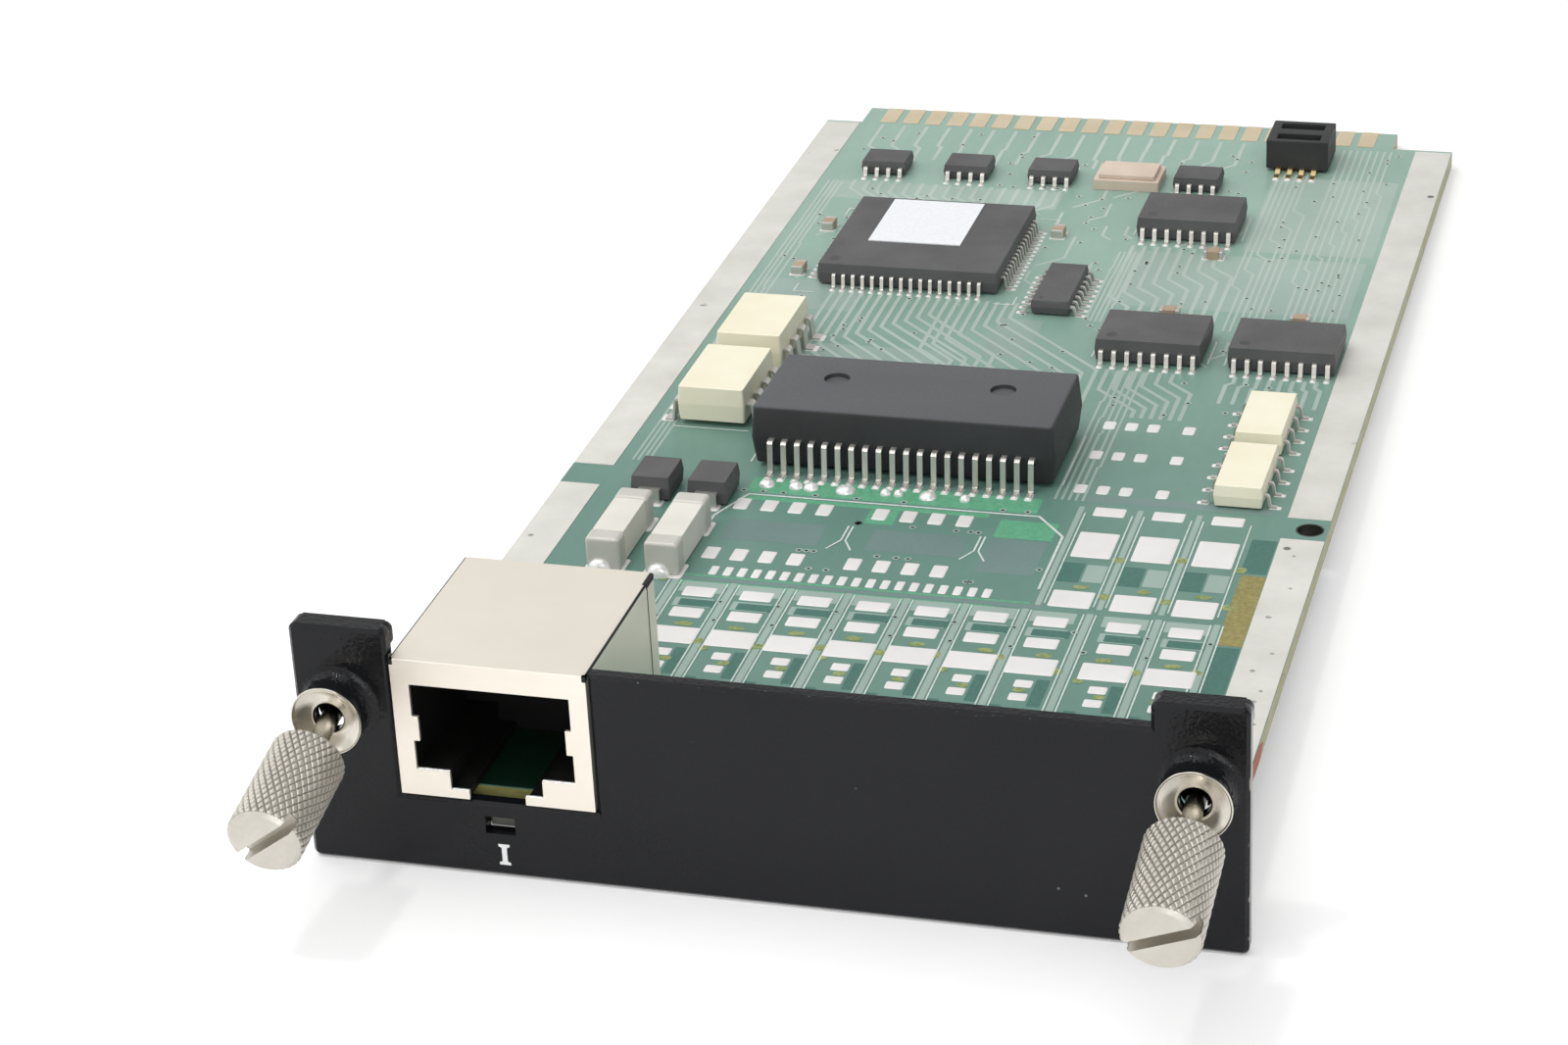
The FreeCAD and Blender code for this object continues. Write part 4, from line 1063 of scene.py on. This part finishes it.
def make_vias():
    """Small plated holes, spread over the board where no part or land stands; each hole is drawn as a dark
    disc inside its copper ring, painted shade.
    """
    pick = random.Random(11)
    rings = Build()
    holes = Build()
    places = [(pick.uniform(-29.5, 29.5), pick.uniform(76, 147)) for _ in range(230)]
    places += [(x + dx, y) for x in LAND_COLUMNS for dx, y in ((-2.4, 31), (2.3, 34.3))]
    places += [(pick.uniform(-18, 12), pick.choice((44.9, 50.9, 55.6, 41.6))) for _ in range(26)]
    standing = {name for _, _, names in CAD_FINISH for name in names} | {"transformer_body", "bare_lands"}
    standing -= {"circuit_board", "front_panel", "guide_strips", "mounting_blocks"}
    blocked = [box for name in sorted(standing) for box in solids_of(name)]
    margin = 0.5
    for x, y in places:
        if any(lo.x - margin < x < hi.x + margin and lo.y - margin < y < hi.y + margin for lo, hi in blocked):
            continue
        for ring_floor, hole_floor in ((TOP, TOP), (BOTTOM - VIA_RING, BOTTOM - VIA_HOLE)):
            ring(rings, x, y, 0.34, 0.16, ring_floor, VIA_RING)
            disc(holes, x, y, 0.17, hole_floor, VIA_HOLE)
    rings.finish("via_rings", "pour", "board_laminate")
    holes.finish("via_hole_shade", "hole", "board_laminate")


def make_print():
    """Printed lines between the land columns and round the parts."""
    build = Build()

    def draw(*points, width=0.17):
        ribbon(build, points, width, TOP + PRINT_FLOOR, PRINT)

    def pair(x, half, y0, y1, width):
        for edge in (x - half, x + half):
            draw((edge, y0), (edge, y1), width=width)

    def around(name, margin):
        (lo, hi), = solids_of(name)
        return lo.x - margin, hi.x + margin, lo.y - margin, hi.y + margin

    for x in COLUMN_EDGES:
        pair(x, 0.52, 19, 37.6, 0.14)
    draw((-12.6, 2.4), (30.4, 2.4), width=0.2)
    draw((-18.9, 42), (-18.9, 50.2), (-17, 54.9), (9.6, 54.9), (12.4, 51.4), (12.4, 41.4), width=0.24)
    for x in (-6.3, 5.6):
        for way in (-1, 1):
            draw((x + way * 1.1, 45.6), (x + way * 0.2, 47.4), (x + way * 0.2, 50.2))
    for x in WIDE_COLUMNS:
        pair(x, 2.1, 39, 56.4, 0.13)
    x0, x1, y0, y1 = around("framer_chip", 2)
    for x, y, dx, dy in ((x0, y0, 2, 2), (x1, y0, -2, 2), (x1, y1, -2, -2), (x0, y1, 2, -2)):
        draw((x + dx, y), (x, y), (x, y + dy))
    for name, margin in (*((chip, 0.45) for chip in LARGE_CHIPS[1:]), ("transformer_body", 0.4)):
        x0, x1, y0, y1 = around(name, margin)
        for x in (x0, x1):
            draw((x, y0 + 1.5), (x, y1 - 1.5))
    for name in RELAYS:
        x0, x1, y0, y1 = around(name, 0.4)
        draw((x0, y0), (x1, y0))
    build.finish("board_print", "silk")


def make_flux(pick):
    """Spots of flux residue between the lands."""
    flux = Build()
    count = 14

    def spot(x, y, size, stretch=1):
        wobble = [size / 2 * pick.uniform(0.75, 1.15) for _ in range(count)]
        outline = [(x + stretch * r * u, y + r * v) for r, (u, v) in zip(wobble, oval(0, 0, 1, 1, count))]
        flux.prism(outline, TOP + FLUX_FLOOR, TOP + FLUX)

    for i, x in enumerate(LAND_COLUMNS):
        spot(x + pick.uniform(-0.6, 0.9), 30, 0.8, 2)
        spot(x + pick.uniform(1.9, 2.7), 28.4 + pick.uniform(-1.2, 1.2), 1.1)
        spot(x + pick.uniform(-0.4, 0.8), 23.9, 0.8, 1.4)
        if i % 2:
            spot(x - 1.9, 26.2, 0.9)
    for x in WIDE_COLUMNS:
        spot(x + 2.6, 41, 1.2)
        spot(x + 2.5, 47.9 + pick.uniform(-1, 1), 1.2)
        spot(x + pick.uniform(0.3, 1.2), 42.4, 0.9, 1.6)
    for x in (-25.35, -20.05):
        spot(x, 38.2, 1.8, 1.5)
    flux.finish("flux_spots", "flux")


def make_patches():
    """Brighter and darker solder mask, and a patch of raw laminate."""
    mask = Build()
    for corners in ((-17.6, 5.2, 53.9, 54.7), (6.4, 11.6, 50.4, 53.8), (-18.6, 9.4, 36.9, 37.8),
                    (-17.4, 9.2, 55.4, 58.4), (-18.6, 12.2, 38.65, 38.95), (-5.4, -2.8, 51, 53.8)):
        mask.patch(*corners, PATCH)
    mask.finish("bright_mask", "mask", "board_laminate")
    dark = Build()
    for x in LAND_COLUMNS:
        dark.patch(x - 1.2, x + 2, 33.2, 34.4, COPPER_PATCH)
        dark.patch(x + 0.95, x + 2.05, 21.4, 25.9, OPEN_PATCH)
        dark.patch(x - 2, x - 1, 19.6, 21.3, OPEN_PATCH)
    for x in WIDE_COLUMNS:
        dark.patch(x - 2, x - 0.1, 43.2, 46.8, PATCH)
    dark.patch(28.6, 30.8, 19, 34, PATCH)
    dark.patch(28.6, 30.8, 47.4, 53.8, PATCH)
    dark.finish("dark_mask", "dark", "board_laminate")
    olive = Build()
    olive.patch(28.75, 30.9, 34.3, 47, LAMINATE_PATCH)
    olive.finish("bare_laminate_patch", "olive", "board_laminate")


def make_stains(pick):
    """Dark pits in the right guide strip, and a dab of red paint on the board's right edge."""
    strip_top = max(box[1].z for box in solids_of("guide_strips"))
    pits = Build()
    for x, y, size in ((32, 24.5, 0.5), (33.6, 27.2, 0.42), (32.4, 30.4, 0.5), (33.5, 33.6, 0.4),
                       (32.2, 39.8, 0.55), (33.2, 45.2, 0.4), (32.6, 51.2, 0.4), (33.9, 21.8, 0.4)):
        outline = [(x + size / 2 * pick.uniform(0.7, 1.1) * u, y + size / 2 * pick.uniform(0.7, 1.1) * v)
                   for u, v in oval(0, 0, 1, 1, 10)]
        pits.prism(outline, strip_top, strip_top + 0.006)
    pits.finish("strip_stains", "stain", "tin")
    red = Build()
    dab = ((12.6, 5.2), (19.4, 5.12), (20.6, 5.9), (18.8, 6.55), (13.4, 6.6))
    red.stack([[(x, y, z) for y, z in dab] for x in (34.8, 34.83)])
    red.finish("edge_paint_mark", "red")


# Stage


CAMERA_PLACE = (0.074423, -0.235657, 0.15447)
CAMERA_RIGHT = (0.96238, 0.2675, -0.04754)
CAMERA_UP = (-0.07782, 0.43905, 0.89509)
CAMERA_BACK = (0.26031, -0.85772, 0.44335)
LENS, SENSOR = 86.652, 36.0

# Name, place, target, size, power and colour
LAMPS = (
    ("key", (-0.165, -0.16, 0.59), (0.0, 0.02, 0.01), 0.045, 0.42, (1.0, 0.99, 0.97)),
    ("soft", (-0.3, 0.0, 0.62), (0.0, 0.05, 0.0), 1.3, 5.15, (1.0, 0.995, 0.985)),
    ("fill", (0.3, -0.8, 0.4), (0.0, 0.05, 0.01), 0.6, 2.0, (1.0, 0.995, 0.985)),
)

# The floor slopes up from the panel's foot to the rear tongue, just under both
FLOOR_SLOPE = 4.99 / 153.9
FLOOR_FRONT, FLOOR_GAP, FLOOR_HALF = 0.0006, 0.00002, 3.0
FLOOR_GLOW = 0.2


def make_camera():
    data = bpy.data.cameras.new("camera")
    data.sensor_width = SENSOR
    data.lens = LENS
    data.clip_start = 0.01
    data.clip_end = 20.0
    camera = add("camera", data)
    turn = Matrix((CAMERA_RIGHT, CAMERA_UP, CAMERA_BACK)).transposed().to_4x4()
    camera.matrix_world = Matrix.Translation(CAMERA_PLACE) @ turn
    scene.camera = camera


def make_world():
    """Soft light, brighter overhead; what is seen or mirrored is a white sweep that darkens above."""
    world = bpy.data.worlds.new("studio")
    scene.world = world
    world.use_nodes = True
    sky = Nodes(world.node_tree)
    height = sky.axis(sky.node("TexCoord")["Generated"], 2)
    light = sky.span(height, 0.0, 1.0, 0.26, 0.62)
    sweep = sky.span(height, 0.2, 0.74, 1.0, 0.25)
    strength = sky.node("Mix", {0: sky.seen(), 2: light, 3: sweep})[0]
    background = sky.tree.nodes["Background"]
    background.inputs["Color"].default_value = (1.0, 1.0, 1.0, 1.0)
    sky.link(strength, background.inputs["Strength"])
    scene.view_settings.view_transform = "Standard"


def make_lights():
    for name, place, target, size, power, colour in LAMPS:
        data = bpy.data.lights.new(name, "AREA")
        data.shape = "SQUARE"
        data.size = size
        data.energy = power
        data.color = colour
        lamp = add(name, data)
        lamp.location = place
        lamp.rotation_mode = "QUATERNION"
        lamp.rotation_quaternion = (Vector(target) - lamp.location).to_track_quat("-Z", "Y")


def make_floor():
    """A pale table that touches the panel's foot and the rear tongue."""
    mesh = bpy.data.meshes.new("floor")
    points = [(x, y, (y - FLOOR_FRONT) * FLOOR_SLOPE - FLOOR_GAP)
              for y in (-FLOOR_HALF, FLOOR_HALF) for x in (-FLOOR_HALF, FLOOR_HALF)]
    mesh.from_pydata(points, [], [(0, 1, 3, 2)])
    mat = Shader("floor_white", specular=0.2)
    grain = mat.noise(40.0)
    mat.link(mat.blend(grain, (0.86, 0.86, 0.87), (0.89, 0.89, 0.9)), mat.bsdf.inputs["Base Color"])
    mat.link(mat.span(grain, 0.3, 0.7, 0.6, 0.75), mat.bsdf.inputs["Roughness"])
    mat.bsdf.inputs["Emission Color"].default_value = (1.0, 1.0, 1.0, 1.0)
    mat.link(mat.both(mat.seen(), FLOOR_GLOW), mat.bsdf.inputs["Emission Strength"])
    mesh.materials.append(mat.material)
    floor = add("floor", mesh)


def main():
    make_camera()
    make_world()
    make_lights()
    make_floor()
    dress_cad()
    for side in SCREWS:
        make_screw(side)
        make_ferrule(side)
    make_boss_roots()
    make_ear_ends()
    make_transformer()
    make_all_leads()
    make_lands()
    make_copper()
    make_vias()
    make_print()
    marks = random.Random(5)
    make_flux(marks)
    make_patches()
    make_stains(marks)
    make_numeral()
    make_seams()
    make_window_lip_highlights()
    make_dimples()
    make_joints_below()


main()
bpy.context.view_layer.update()
